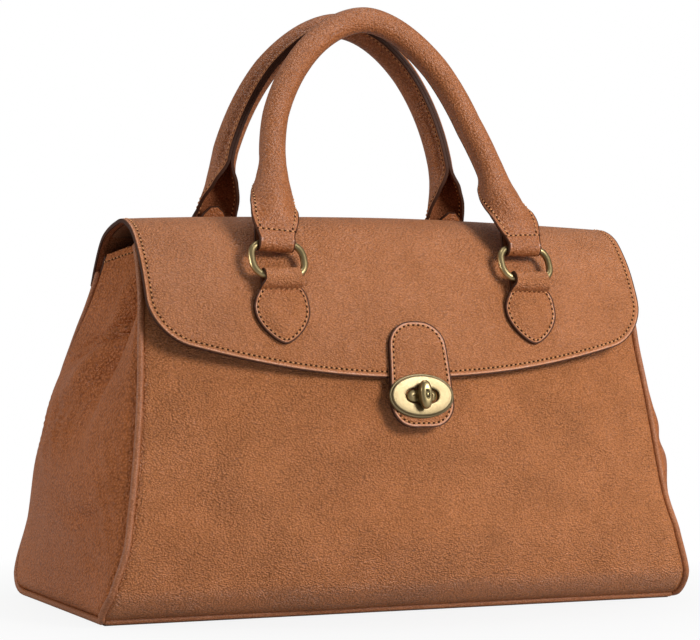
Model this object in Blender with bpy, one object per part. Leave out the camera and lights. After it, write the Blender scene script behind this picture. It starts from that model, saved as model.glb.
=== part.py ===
# Leather satchel with a front flap, a turn lock and two rolled handles on rings.
# Frame: X is the width, -Y the front, +Z up; the origin is on the floor in the middle of the base.

import bpy
import bmesh
import math
import numpy as np
from mathutils import Vector

MM = 0.001

# Body
BODY_HEIGHT = 206 * MM
BASE_HALF_WIDTH = 177.9 * MM
BASE_HALF_DEPTH = 97 * MM
FRONT_BELLY = 13.2 * MM
BACK_BELLY = 9 * MM
SIDE_BULGE = 15 * MM
PLEAT_DEPTH = 11 * MM
PLEAT_SHIFT = 2 * MM
FRONT_TOP_DROP = 1 * MM
BACK_TOP_DROP = 6 * MM
FRONT_TOP = BODY_HEIGHT - FRONT_TOP_DROP
BACK_TOP = BODY_HEIGHT - BACK_TOP_DROP
LEATHER = 2.4 * MM
LINING = 0.8 * MM
SEAT_GAP = 0.3 * MM

# Piping along the seams
PIPING_RADIUS = 2.2 * MM
PIPING_LEVEL = 2.5 * MM
PIPING_FRONT_TOP_SHARE = 0.947
PIPING_BACK_TOP_SHARE = 0.825
SEAM_GAP = 0.4 * MM

# Base
BASE_THICKNESS = 2.4 * MM
BOARD_THICKNESS = 2 * MM
BOARD_MARGIN = 3 * MM
BASE_CORNER_RADIUS = 4 * MM

# Pocket inside, on the back lining
POCKET_HALF_WIDTH = 90 * MM
POCKET_DROP = 58 * MM
POCKET_HEIGHT = 80 * MM
POCKET_HIGH = BACK_TOP - POCKET_DROP
POCKET_LOW = POCKET_HIGH - POCKET_HEIGHT
POCKET_THICKNESS = 1.2 * MM

# Flap
FLAP_HALF_WIDTH = 152 * MM
FLAP_EDGE_RADIUS = 460 * MM
FLAP_CORNER_RADIUS = 22 * MM
FLAP_LEATHER = 2.2 * MM
FLAP_LINING = 1.0 * MM
FLAP_LINING_MARGIN = 4 * MM
FLAP_LINING_START = 8 * MM
FLAP_CROWN = 4 * MM
FLAP_DROP = 74.7 * MM
FLAP_EDGE_LEVEL = BODY_HEIGHT - FLAP_DROP
FLAP_STAND = 10 * MM
BAND_LENGTH = 33 * MM
HINGE_ROUND = 1.4 * MM
CROWN_RUN = 34 * MM
PROFILE_PROBE = 1.5 * MM
PANEL_PROBE = 6 * MM

# Tab under the lock
TAB_LENGTH = 59.8 * MM
TAB_RISE = 32.2 * MM
TAB_TOP_LEVEL = FLAP_EDGE_LEVEL + TAB_RISE
TAB_LOW_LEVEL = TAB_TOP_LEVEL - TAB_LENGTH
TAB_TOP_HALF_WIDTH = 16.6 * MM
TAB_LOW_HALF_WIDTH = 19.8 * MM
TAB_CORNER_RADIUS = 12 * MM
TAB_LEATHER = 2.0 * MM

# Turn lock
LOCK_RISE = 17 * MM
LOCK_LEVEL = TAB_LOW_LEVEL + LOCK_RISE
PLATE_HALF_WIDTH = 19.6 * MM
PLATE_HALF_HEIGHT = 12.4 * MM
PLATE_THICKNESS = 2.5 * MM
PLATE_BEVEL = 1.2 * MM
SLOT_HALF_WIDTH = 9.9 * MM
SLOT_HALF_HEIGHT = 4.5 * MM
SLOT_MARGIN = 0.8 * MM
BACK_PLATE_HALF_WIDTH = 16.5 * MM
BACK_PLATE_HALF_HEIGHT = 8.6 * MM
BACK_PLATE_THICKNESS = 0.7 * MM
POST_PLATE_HALF_WIDTH = 15 * MM
POST_PLATE_HALF_HEIGHT = 7.6 * MM
POST_PLATE_THICKNESS = 1.0 * MM
POST_CLEARANCE = 0.8 * MM
POST_ROUND = 0.9 * MM
CATCH_GAP = 0.4 * MM
CATCH_HALF_WIDTH = 14 * MM
CATCH_HALF_HEIGHT = 9 * MM
CATCH_THICKNESS = 0.8 * MM
MAGNET_RADIUS = 6.5 * MM
MAGNET_HEIGHT = 0.7 * MM
NECK_RADIUS = 4.2 * MM
NECK_LENGTH = 7.5 * MM
NECK_CLEARANCE = 0.35 * MM
SPINDLE_RADIUS = 1.9 * MM
SPINDLE_CLEARANCE = 0.3 * MM
KNOB_HALF_LENGTH = 7.9 * MM
KNOB_HALF_WIDTH = 3.6 * MM
KNOB_HALF_HEIGHT = 3.1 * MM
KNOB_GAP = 0.6 * MM
WASHER_RADIUS = 9 * MM
WASHER_THICKNESS = 1 * MM
WASHER_GAP = 1.1 * MM

# Rings and the leather that folds round them
RING_HALF_WIDTH = 15.25 * MM
RING_HALF_HEIGHT = 11 * MM
RING_WIRE_RADIUS = 2 * MM
RING_SPACING = 76.5 * MM
LOOP_INNER_RADIUS = 4.7 * MM
STRAP_LEATHER = 2 * MM
STRAP_WIDTH = 20 * MM
LEAF_WIDTH = 32 * MM
LEAF_TIP_WIDTH = 3 * MM
LEAF_BLADE = 37 * MM
LEAF_PLY = 9 * MM
BACK_LEAF_EASE = 0.2 * MM
FRONT_BAR_DROP = 22 * MM
BACK_BAR_DROP = 33 * MM
FRONT_BAR_LEVEL = BODY_HEIGHT - FRONT_BAR_DROP
BACK_BAR_LEVEL = BODY_HEIGHT - BACK_BAR_DROP
FRONT_RING_LEAN = 26.6
BACK_RING_LEAN = 9.0

# Handles
HANDLE_RISE = 135.5 * MM
HANDLE_TOP = BODY_HEIGHT + HANDLE_RISE
FRONT_HANDLE_TOP_DEPTH = -16 * MM
BACK_HANDLE_TOP_DEPTH = 13.5 * MM
HANDLE_HALF_WIDTH = 72 * MM
HANDLE_RADIUS = 7.6 * MM
HANDLE_LEATHER = 1.8 * MM
HANDLE_FLAT_WIDTH = 30 * MM
CORE_CLEARANCE = 0.8 * MM
SPOON_LEVEL_SHARE = 0.115
ROLL_START_SHARE = 0.12
ROLL_END_SHARE = 0.385
ROLL_CLOSED_SHARE = 0.955
INNER_PLY = 20 * MM
PLY_MERGE = 13 * MM

# Side view of the seams: heights as shares of the body's height, the rest as shares of its half sizes
SEAM_LEVEL_SHARES = (0.012, 0.039, 0.097, 0.194, 0.291, 0.388, 0.485, 0.583, 0.655, 0.728, 0.777, 0.825,
                     0.893, 0.947, 1.0)
HALF_WIDTH_SHARES = (0.987, 1.0, 0.983, 0.947, 0.922, 0.905, 0.891, 0.879, 0.870, 0.863, 0.859, 0.854,
                     0.849, 0.844, 0.840)
FRONT_DEPTH_SHARES = (0.814, 0.886, 0.978, 0.993, 0.940, 0.909, 0.881, 0.845, 0.809, 0.769, 0.751, 0.729,
                      0.680, 0.618, 0.540)
BACK_DEPTH_SHARES = (0.814, 0.887, 0.979, 1.0, 0.985, 0.948, 0.892, 0.799, 0.691, 0.541, 0.433, 0.320,
                     0.178, 0.098, 0.015)
FRONT_BELLY_SHARES = (0.0, 0.02, 0.08, 0.23, 0.53, 0.70, 0.80, 0.90, 0.92, 0.96, 0.84, 0.68, 0.55, 0.48, 0.32)
BACK_BELLY_SHARES = (0.0, 0.03, 0.12, 0.45, 0.80, 1.0, 1.0, 0.90, 0.75, 0.50, 0.35, 0.20, 0.03, 0.0, 0.0)
BULGE_SHARES = (0.0, 0.06, 0.22, 0.56, 0.92, 1.12, 1.15, 1.0, 0.72, 0.45, 0.28, 0.18, 0.10, 0.05, 0.0)
PLEAT_SHARES = (0.0, 0.0, 0.0, 0.0, 0.0, 0.05, 0.22, 0.45, 0.60, 0.72, 0.80, 0.86, 0.93, 0.97, 1.0)
BELLY_POWER = 1.2
BULGE_POWER = 0.6
PLEAT_SHARPNESS = 0.28

# Outer face of the flap over the top, from the side: depth and height as shares of the body's half depth and height
FLAP_TOP_SHARES = ((0.239, 0.893), (0.180, 0.937), (0.101, 0.985), (0.031, 1.017), (-0.072, 1.046),
                   (-0.206, 1.073), (-0.340, 1.085), (-0.464, 1.075), (-0.577, 1.049), (-0.670, 1.007))
# Its hanging part: how far it stands before the front leather, as shares of the flap's stand, and the height's shares
FLAP_HANG_SHARES = ((0.8032, 0.949), (0.6787, 0.874), (0.5692, 0.791), (0.5728, 0.725), (0.5995, 0.655),
                    (0.5630, 0.587), (0.6314, 0.524), (0.6740, 0.470))


def pchip(knots, values, at):
    """Smooth curve through the values that never overshoots them."""
    knots = np.asarray(knots, float)
    values = np.asarray(values, float)
    at = np.clip(np.asarray(at, float), knots[0], knots[-1])
    step = np.diff(knots)
    slope = np.diff(values) / step
    tangent = np.zeros(len(knots))
    tangent[0], tangent[-1] = slope[0], slope[-1]
    for k in range(1, len(knots) - 1):
        if slope[k - 1] * slope[k] > 0:
            first = 2 * step[k] + step[k - 1]
            second = step[k] + 2 * step[k - 1]
            tangent[k] = (first + second) / (first / slope[k - 1] + second / slope[k])
    k = np.clip(np.searchsorted(knots, at) - 1, 0, len(step) - 1)
    t = (at - knots[k]) / step[k]
    low = (1 + 2 * t) * (1 - t) ** 2 * values[k] + t * (1 - t) ** 2 * step[k] * tangent[k]
    high = t * t * (3 - 2 * t) * values[k + 1] + t * t * (t - 1) * step[k] * tangent[k + 1]
    return low + high


def smoothstep(share):
    share = np.clip(share, 0, 1)
    return share * share * (3 - 2 * share)


def unit(vectors):
    return vectors / np.linalg.norm(vectors, axis=-1, keepdims=True)


SEAM_LEVELS = np.array(SEAM_LEVEL_SHARES) * BODY_HEIGHT


def half_width(z):
    return pchip(SEAM_LEVELS, np.array(HALF_WIDTH_SHARES) * BASE_HALF_WIDTH, z)


def front_depth(z):
    return pchip(SEAM_LEVELS, np.array(FRONT_DEPTH_SHARES) * BASE_HALF_DEPTH, z)


def back_depth(z):
    return pchip(SEAM_LEVELS, np.array(BACK_DEPTH_SHARES) * BASE_HALF_DEPTH, z)


def front_panel_y(x, z):
    """Middle of the front leather: the seam's depth plus a belly that dies out at the sides."""
    belly = pchip(SEAM_LEVELS, np.array(FRONT_BELLY_SHARES) * FRONT_BELLY, z)
    across = np.clip(1 - (x / half_width(z)) ** 2, 0, 1) ** BELLY_POWER
    return -(front_depth(z) + belly * across)


def back_panel_y(x, z):
    belly = pchip(SEAM_LEVELS, np.array(BACK_BELLY_SHARES) * BACK_BELLY, z)
    across = np.clip(1 - (x / half_width(z)) ** 2, 0, 1) ** BELLY_POWER
    return back_depth(z) + belly * across


def side_panel_x(across, z):
    """Middle of a side panel: bulges low down, and folds inward to a pleat near the top."""
    bulge = pchip(SEAM_LEVELS, np.array(BULGE_SHARES) * SIDE_BULGE, z)
    pleat = pchip(SEAM_LEVELS, np.array(PLEAT_SHARES) * PLEAT_DEPTH, z)
    round_out = np.clip(1 - across ** 2, 0, 1) ** BULGE_POWER
    fold = np.clip(1 - np.sqrt(across ** 2 + PLEAT_SHARPNESS ** 2) + PLEAT_SHARPNESS, 0, 1)
    return half_width(z) + bulge * round_out - pleat * fold * (1 - across ** 8)


def edge_inset(edge, z, gap):
    """Distance along a level line that keeps a clear gap square to a sloping seam."""
    slope = np.abs(np.diff(edge(SEAM_LEVELS)) / np.diff(SEAM_LEVELS))
    steepest = np.maximum(np.append(slope, slope[-1]), np.insert(slope, 0, slope[0]))
    return np.interp(z, SEAM_LEVELS, gap * np.sqrt(1 + steepest ** 2))


# Flap profile, as a curve with its length
def fine_profile():
    top = np.array(FLAP_TOP_SHARES) * np.array([BASE_HALF_DEPTH, BODY_HEIGHT])
    stand, hang_z = (np.array(FLAP_HANG_SHARES) * np.array([FLAP_STAND, BODY_HEIGHT])).T
    corners = np.vstack([top, np.stack([front_panel_y(0 * hang_z, hang_z) - stand, hang_z], -1)])
    ends = np.vstack([2 * corners[0] - corners[1], corners, 2 * corners[-1] - corners[-2]])
    t = np.linspace(0, 1, 12, endpoint=False)[:, None]
    runs = []
    for a, b, c, d in zip(ends[:-3], ends[1:-2], ends[2:-1], ends[3:]):
        cubic = (2 * b + (c - a) * t + (2 * a - 5 * b + 4 * c - d) * t ** 2 + (3 * b - a - 3 * c + d) * t ** 3)
        runs.append(cubic / 2)
    runs.append(corners[-1:])
    return np.vstack(runs)


PROFILE = fine_profile()
PROFILE_LENGTH = np.concatenate([[0], np.cumsum(np.linalg.norm(np.diff(PROFILE, axis=0), axis=1))])


def profile_point(s):
    """Point (y, z) of the flap's outer face at a length from the band's lower edge, and its outward normal."""
    y = np.interp(s, PROFILE_LENGTH, PROFILE[:, 0])
    z = np.interp(s, PROFILE_LENGTH, PROFILE[:, 1])
    ahead = np.clip(np.asarray(s) + PROFILE_PROBE, 0, PROFILE_LENGTH[-1])
    behind = np.clip(np.asarray(s) - PROFILE_PROBE, 0, PROFILE_LENGTH[-1])
    ty = np.interp(ahead, PROFILE_LENGTH, PROFILE[:, 0]) - np.interp(behind, PROFILE_LENGTH, PROFILE[:, 0])
    tz = np.interp(ahead, PROFILE_LENGTH, PROFILE[:, 1]) - np.interp(behind, PROFILE_LENGTH, PROFILE[:, 1])
    size = np.hypot(ty, tz)
    return y, z, tz / size, -ty / size


def length_at_level(level):
    """Length along the profile where its front comes down to a level."""
    front = PROFILE_LENGTH > PROFILE_LENGTH[np.argmax(PROFILE[:, 1])]
    return float(np.interp(-level, -PROFILE[front, 1], PROFILE_LENGTH[front]))


def flap_place(s, x, lift):
    """Point on the flap's outer face, lifted off it; the sides lie a little closer in than the middle."""
    y, z, ny, nz = profile_point(s)
    crown = FLAP_CROWN * smoothstep((np.asarray(s) - BAND_LENGTH) / CROWN_RUN) * (x / FLAP_HALF_WIDTH) ** 2
    out = lift - crown
    return np.stack([x + 0 * y, y + ny * out, z + nz * out], -1)


def back_place(s, x, lift):
    """Point on the back panel's outer face, a length s down from the back bar's level."""
    level = np.linspace(BACK_TOP, PIPING_LEVEL, 400)
    at_ring = back_panel_y(RING_SPACING + 0 * level, level)
    length = np.concatenate([[0], np.cumsum(np.hypot(np.diff(at_ring), np.diff(level)))])
    start = np.interp(-BACK_BAR_LEVEL, -level, length)
    z = np.interp(start + s, length, level)
    slope = (back_panel_y(x, z + PANEL_PROBE) - back_panel_y(x, z - PANEL_PROBE)) / (2 * PANEL_PROBE)
    size = np.sqrt(1 + slope ** 2)
    out = LEATHER / 2 + lift + BACK_LEAF_EASE
    return np.stack([x + 0 * z, back_panel_y(x, z) + out / size, z - slope * out / size], -1)


# Objects and materials
for old in list(bpy.data.objects):
    bpy.data.objects.remove(old)


def material(name, colour, roughness, metallic=0.0):
    made = bpy.data.materials.new(name)
    made.use_nodes = True
    shader = made.node_tree.nodes["Principled BSDF"]
    shader.inputs["Base Color"].default_value = (*colour, 1)
    shader.inputs["Roughness"].default_value = roughness
    shader.inputs["Metallic"].default_value = metallic
    return made


TAN = material("tan_leather", (0.45, 0.20, 0.09), 0.55)
EDGE = material("painted_piping", (0.36, 0.15, 0.07), 0.5)
SUEDE = material("suede_lining", (0.30, 0.17, 0.10), 0.9)
BOARD = material("stiff_board", (0.20, 0.16, 0.12), 0.9)
ROPE = material("cotton_rope", (0.70, 0.62, 0.48), 0.95)
BRASS = material("antique_brass", (0.45, 0.36, 0.18), 0.35, 1.0)

body = bpy.data.objects.new("bag_body", None)
bpy.context.scene.collection.objects.link(body)


def add_object(name, data, finish, parent=None):
    made = bpy.data.objects.new(name, data)
    bpy.context.scene.collection.objects.link(made)
    if finish:
        data.materials.append(finish)
    if parent:
        made.parent = parent
        made.matrix_parent_inverse = parent.matrix_world.inverted()
    return made


def grid_mesh(name, points, closed_rows=False, closed_columns=False):
    """Quads between the points of a rows by columns array."""
    rows, columns = points.shape[:2]
    index = np.arange(rows * columns).reshape(rows, columns)
    if closed_rows:
        index = np.vstack([index, index[:1]])
    if closed_columns:
        index = np.hstack([index, index[:, :1]])
    quads = np.stack([index[:-1, :-1], index[1:, :-1], index[1:, 1:], index[:-1, 1:]], -1).reshape(-1, 4)
    mesh = bpy.data.meshes.new(name)
    mesh.from_pydata(points.reshape(-1, 3).tolist(), [], quads.tolist())
    mesh.shade_smooth()
    return mesh


def leather_sheet(name, points, thickness, finish, parent=None):
    """A sheet of leather: its middle surface given as a grid, thickened both ways."""
    made = add_object(name, grid_mesh(name, points), finish, parent)
    wall = made.modifiers.new("thickness", "SOLIDIFY")
    wall.thickness = thickness
    wall.offset = 0
    return made


def offset_grid(points, distance):
    """The grid moved along its normals; a positive distance goes to the side of rows cross columns."""
    normal = np.cross(np.gradient(points, axis=0), np.gradient(points, axis=1))
    return points + unit(normal) * distance


def solid_from_grid(name, points, finish, parent=None):
    """A closed ring-shaped solid from loops of points, each loop following the last."""
    made = add_object(name, grid_mesh(name, points, True, True), finish, parent)
    cleaned = bmesh.new()
    cleaned.from_mesh(made.data)
    bmesh.ops.recalc_face_normals(cleaned, faces=cleaned.faces)
    cleaned.to_mesh(made.data)
    cleaned.free()
    return made


def tube(name, points, radius, finish, parent=None, sides_share=2, closed=False):
    curve = bpy.data.curves.new(name, "CURVE")
    curve.dimensions = "3D"
    run = curve.splines.new("POLY")
    run.points.add(len(points) - 1)
    for spot, point in zip(run.points, points):
        spot.co = (*point, 1)
    run.use_cyclic_u = closed
    curve.bevel_depth = radius
    curve.bevel_resolution = sides_share
    curve.use_fill_caps = not closed
    return add_object(name, curve, finish, parent)


def mirrored(points):
    return points * np.array([-1, 1, 1])


# Panels of the body: every sheet is cut along the same levels as the seams
SHEET_COLUMNS = 11
SEAM_INSET = PIPING_RADIUS + SEAM_GAP
PANEL_LOW = 4.2 * MM
SIDE_LOW = PIPING_LEVEL + SEAM_INSET
LINING_GAP = 0.4 * MM
LINING_OFFSET = LEATHER / 2 + LINING_GAP + LINING / 2
LINING_EDGE = 1.4 * MM
LINING_SIDE_EDGE = 7.5 * MM
LINING_TOP_DROP = 8 * MM
LINING_LOW = 8.4 * MM


def levels(low, top):
    inner = SEAM_LEVELS[1:-1]
    return np.concatenate([[low], inner[(inner > low) & (inner < top)], [top]])


def wall_grid(depth_of, top, sign):
    across = np.linspace(-1, 1, SHEET_COLUMNS)
    z = levels(PANEL_LOW, top)[:, None] + 0 * across
    x = (half_width(z) - edge_inset(half_width, z, SEAM_INSET)) * across * sign
    return np.stack([x, depth_of(x, z), z], -1)


def side_grid():
    across = np.linspace(-1, 1, SHEET_COLUMNS)
    z = levels(SIDE_LOW, FRONT_TOP)[:, None] + 0 * across
    z[-1] = FRONT_TOP + (BACK_TOP - FRONT_TOP) * (across + 1) / 2
    front = -(front_depth(z) - edge_inset(front_depth, z, SEAM_INSET))
    back = back_depth(z) - edge_inset(back_depth, z, SEAM_INSET)
    y = front + (back - front) * (across + 1) / 2
    return np.stack([side_panel_x(across + 0 * z, z), y, z], -1)


def trimmed(low, high):
    """Places along a grid: every whole step between two trimmed ends."""
    inner = np.arange(math.floor(low) + 1, math.ceil(high))
    return np.concatenate([[low], inner, [high]])


def sampled(grid, rows, columns):
    """The grid read between its points, so that two sheets from one grid stay parallel."""
    row_low = np.clip(np.floor(rows).astype(int), 0, grid.shape[0] - 2)
    column_low = np.clip(np.floor(columns).astype(int), 0, grid.shape[1] - 2)
    rt = (rows - row_low)[:, None, None]
    ct = (columns - column_low)[None, :, None]
    low = grid[row_low][:, column_low] * (1 - ct) + grid[row_low][:, column_low + 1] * ct
    high = grid[row_low + 1][:, column_low] * (1 - ct) + grid[row_low + 1][:, column_low + 1] * ct
    return low * (1 - rt) + high * rt


def inner_sheet(grid, low, high, edge, distance):
    """A sheet inside another: from a low to a high level, an edge width in from its sides."""
    z = grid[:, SHEET_COLUMNS // 2, 2]
    low_row = float(np.interp(low, z, np.arange(len(z))))
    high_row = float(np.interp(high, z, np.arange(len(z))))
    step = np.linalg.norm(grid[:, 1] - grid[:, 0], axis=-1).min()
    margin = min(edge / step, 0.9)
    columns = trimmed(margin, SHEET_COLUMNS - 1 - margin)
    return sampled(offset_grid(grid, distance), trimmed(low_row, high_row), columns)


front_grid = wall_grid(front_panel_y, FRONT_TOP, 1)
back_grid = wall_grid(back_panel_y, BACK_TOP, -1)
right_grid = side_grid()
front_panel = leather_sheet("front_panel", front_grid, LEATHER, TAN, body)
leather_sheet("back_panel", back_grid, LEATHER, TAN, body)
leather_sheet("side_panel_right", right_grid, LEATHER, TAN, body)
leather_sheet("side_panel_left", mirrored(right_grid), LEATHER, TAN, body)

# Linings lie against the inner face of each panel
front_lining_grid = inner_sheet(front_grid, LINING_LOW, FRONT_TOP - LINING_TOP_DROP, LINING_EDGE, LINING_OFFSET)
back_lining_grid = inner_sheet(back_grid, LINING_LOW, BACK_TOP - LINING_TOP_DROP, LINING_EDGE, LINING_OFFSET)
right_lining_grid = inner_sheet(right_grid, LINING_LOW, BACK_TOP - LINING_TOP_DROP, LINING_SIDE_EDGE, LINING_OFFSET)
front_lining = leather_sheet("front_lining", front_lining_grid, LINING, SUEDE, body)
leather_sheet("back_lining", back_lining_grid, LINING, SUEDE, body)
leather_sheet("side_lining_right", right_lining_grid, LINING, SUEDE, body)
leather_sheet("side_lining_left", mirrored(right_lining_grid), LINING, SUEDE, body)


# Base: leather, stiffening board and lining, stacked
def rounded_plate(name, half_x, half_y, low, thickness, finish):
    corners = []
    for turn, (sx, sy) in enumerate(((1, 1), (-1, 1), (-1, -1), (1, -1))):
        centre = np.array([sx * (half_x - BASE_CORNER_RADIUS), sy * (half_y - BASE_CORNER_RADIUS)])
        for angle in np.linspace(0, math.pi / 2, 4) + turn * math.pi / 2:
            corners.append(centre + BASE_CORNER_RADIUS * np.array([math.cos(angle), math.sin(angle)]))
    shape = bmesh.new()
    outline = shape.faces.new([shape.verts.new((x, y, low)) for x, y in corners])
    raised = bmesh.ops.extrude_face_region(shape, geom=[outline])["geom"]
    bmesh.ops.translate(shape, vec=(0, 0, thickness), verts=[v for v in raised if isinstance(v, bmesh.types.BMVert)])
    bmesh.ops.recalc_face_normals(shape, faces=shape.faces)
    mesh = bpy.data.meshes.new(name)
    shape.to_mesh(mesh)
    shape.free()
    return add_object(name, mesh, finish, body)


BOTTOM_HALF_WIDTH = float(half_width(PIPING_LEVEL))
BOTTOM_HALF_DEPTH = float(front_depth(PIPING_LEVEL))
plate_x = BOTTOM_HALF_WIDTH - SEAM_INSET
plate_y = BOTTOM_HALF_DEPTH - SEAM_INSET
rounded_plate("base_panel", plate_x, plate_y, 0, BASE_THICKNESS, TAN)
board_low = BASE_THICKNESS + SEAT_GAP
board_top = board_low + BOARD_THICKNESS
rounded_plate("base_board", plate_x - BOARD_MARGIN, plate_y - BOARD_MARGIN, board_low, BOARD_THICKNESS, BOARD)
rounded_plate("base_lining", plate_x - BOARD_MARGIN, plate_y - BOARD_MARGIN, board_top + SEAT_GAP, LINING, SUEDE)


# Piping: one run down the front seam, round the foot of the side panel and up the back seam
def side_piping_route():
    front_levels = levels(SEAM_LEVELS[1], PIPING_FRONT_TOP_SHARE * BODY_HEIGHT)[::-1]
    back_levels = levels(SEAM_LEVELS[1], PIPING_BACK_TOP_SHARE * BODY_HEIGHT)
    front = np.stack([half_width(front_levels), -front_depth(front_levels), front_levels], -1)
    back = np.stack([half_width(back_levels), back_depth(back_levels), back_levels], -1)
    foot_y = np.linspace(-BOTTOM_HALF_DEPTH, BOTTOM_HALF_DEPTH, 7)
    foot = np.stack([BOTTOM_HALF_WIDTH + 0 * foot_y, foot_y, PIPING_LEVEL + 0 * foot_y], -1)
    between = (SEAM_LEVELS[0] + SEAM_LEVELS[1]) / 2
    front_turn = np.array([[half_width(between), -front_depth(between), between]])
    back_turn = np.array([[half_width(between), back_depth(between), between]])
    return np.vstack([front, front_turn, foot, back_turn, back])


right_route = side_piping_route()
tube("piping_right", right_route, PIPING_RADIUS, EDGE, body)
tube("piping_left", mirrored(right_route), PIPING_RADIUS, EDGE, body)
bottom_reach = BOTTOM_HALF_WIDTH - 2 * PIPING_RADIUS - SEAM_GAP / 2
bottom_x = np.linspace(-bottom_reach, bottom_reach, 5)
bottom_line = np.stack([bottom_x, BOTTOM_HALF_DEPTH + 0 * bottom_x, PIPING_LEVEL + 0 * bottom_x], -1)
tube("piping_back", bottom_line, PIPING_RADIUS, EDGE, body)
tube("piping_front", bottom_line * np.array([1, -1, 1]), PIPING_RADIUS, EDGE, body)

# Pocket on the back lining
pocket_offset = LEATHER / 2 + LINING_GAP + LINING + LINING_GAP + POCKET_THICKNESS / 2
pocket_edge = (half_width(POCKET_HIGH) - POCKET_HALF_WIDTH) / half_width(POCKET_HIGH) * (SHEET_COLUMNS - 1) / 2
back_levels_z = back_grid[:, 0, 2]
pocket_rows = np.interp((POCKET_LOW, POCKET_HIGH), back_levels_z, np.arange(len(back_levels_z)))
pocket_grid = sampled(offset_grid(back_grid, pocket_offset), trimmed(*pocket_rows),
                      trimmed(pocket_edge, SHEET_COLUMNS - 1 - pocket_edge))
leather_sheet("inner_pocket", pocket_grid, POCKET_THICKNESS, SUEDE, body)

# Flap: the band sewn to the back panel, and the part that lifts
HINGE_Y, HINGE_Z, HINGE_NY, HINGE_NZ = (float(v) for v in profile_point(BAND_LENGTH))
HINGE = Vector((0, HINGE_Y - HINGE_NY * FLAP_LEATHER / 2, HINGE_Z - HINGE_NZ * FLAP_LEATHER / 2))
flap_origin = bpy.data.objects.new("flap_hinge", None)
flap_origin.location = HINGE
bpy.context.scene.collection.objects.link(flap_origin)
bpy.context.view_layer.update()

FLAP_SHARES = np.sin(np.linspace(-1, 1, 17) * math.pi / 2)
band_x = FLAP_HALF_WIDTH * FLAP_SHARES
band_s = np.linspace(0, BAND_LENGTH - HINGE_ROUND, 4)[:, None]
band_grid = flap_place(band_s + 0 * band_x, band_x + 0 * band_s, -FLAP_LEATHER / 2)
leather_sheet("flap_band", band_grid, FLAP_LEATHER, TAN, body)

FLAP_END = length_at_level(FLAP_EDGE_LEVEL)


def flap_edge_length(x, half, radius):
    """Length from the hinge to the flap's lower edge: a long arc with rounded corners."""
    sag = FLAP_EDGE_RADIUS - np.sqrt(FLAP_EDGE_RADIUS ** 2 - x ** 2)
    beyond = np.clip(np.abs(x) - (half - radius), 0, radius)
    corner = radius - np.sqrt(np.maximum(radius ** 2 - beyond ** 2, 0))
    return FLAP_END - sag - corner


FLAP_ROWS = 18
flap_x = FLAP_HALF_WIDTH * FLAP_SHARES
flap_end = flap_edge_length(flap_x, FLAP_HALF_WIDTH, FLAP_CORNER_RADIUS)
flap_s = BAND_LENGTH + (flap_end - BAND_LENGTH) * np.linspace(0, 1, FLAP_ROWS)[:, None]
flap_grid = flap_place(flap_s, flap_x + 0 * flap_s, -FLAP_LEATHER / 2)
leather_sheet("flap", flap_grid, FLAP_LEATHER, TAN, flap_origin)
lining_step = (FLAP_END - BAND_LENGTH) / (FLAP_ROWS - 1)
lining_rows = trimmed(FLAP_LINING_START / lining_step, FLAP_ROWS - 1 - FLAP_LINING_MARGIN / lining_step)
lining_column = float(np.interp(FLAP_LINING_MARGIN - FLAP_HALF_WIDTH, flap_x, np.arange(len(flap_x))))
lining_columns = trimmed(lining_column, len(flap_x) - 1 - lining_column)
lining_distance = (FLAP_LEATHER + FLAP_LINING) / 2 + SEAT_GAP
flap_normal = np.cross(np.gradient(flap_grid, axis=0), np.gradient(flap_grid, axis=1))
lining_side = 1 if flap_normal[FLAP_ROWS // 2, 8] @ np.array([0, 1, -1]) > 0 else -1
lining_grid = sampled(offset_grid(flap_grid, lining_side * lining_distance), lining_rows, lining_columns)
leather_sheet("flap_lining", lining_grid, FLAP_LINING, SUEDE, flap_origin)

# Tab on the flap's lower edge
LOCK_S = length_at_level(LOCK_LEVEL)
tab_top_s = length_at_level(TAB_TOP_LEVEL)
tab_low_s = length_at_level(TAB_LOW_LEVEL)
tab_across = np.sin(np.linspace(-1, 1, 9) * math.pi / 2)
tab_beyond = np.clip(np.abs(tab_across) * TAB_LOW_HALF_WIDTH - (TAB_LOW_HALF_WIDTH - TAB_CORNER_RADIUS), 0,
                     TAB_CORNER_RADIUS)
tab_corner = TAB_CORNER_RADIUS - np.sqrt(TAB_CORNER_RADIUS ** 2 - tab_beyond ** 2)
tab_s = (tab_top_s + tab_corner) + (tab_low_s - tab_top_s - 2 * tab_corner) * np.linspace(0, 1, 9)[:, None]
tab_width_share = (tab_s - tab_top_s) / (tab_low_s - tab_top_s)
tab_x = tab_across * (TAB_TOP_HALF_WIDTH + (TAB_LOW_HALF_WIDTH - TAB_TOP_HALF_WIDTH) * tab_width_share)
tab_lift = SEAT_GAP + TAB_LEATHER / 2
flap_tab = leather_sheet("flap_tab", flap_place(tab_s, tab_x, tab_lift), TAB_LEATHER, TAN, flap_origin)

# Turn lock: everything on one axis, square to the tab
LOCK_Y, LOCK_Z, LOCK_NY, LOCK_NZ = (float(v) for v in profile_point(LOCK_S))
LOCK_OUT = Vector((0, LOCK_NY, LOCK_NZ))
LOCK_UP = Vector((0, -LOCK_NZ, LOCK_NY)) * (-1 if LOCK_NY < 0 else 1)
LOCK_FACE = Vector((0, LOCK_Y, LOCK_Z))
panel_probe = np.linspace(LOCK_LEVEL - LEATHER * 4, LOCK_LEVEL + LEATHER * 4, 81)
panel_outer = front_panel_y(0 * panel_probe, panel_probe)
panel_distance = (panel_outer - LOCK_Y) * LOCK_NY + (panel_probe - LOCK_Z) * LOCK_NZ
panel_side = np.abs((panel_outer - LOCK_Y) * LOCK_UP.y + (panel_probe - LOCK_Z) * LOCK_UP.z)
PANEL_OUT = float(panel_distance[np.argmin(panel_side)]) + LEATHER / 2


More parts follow.
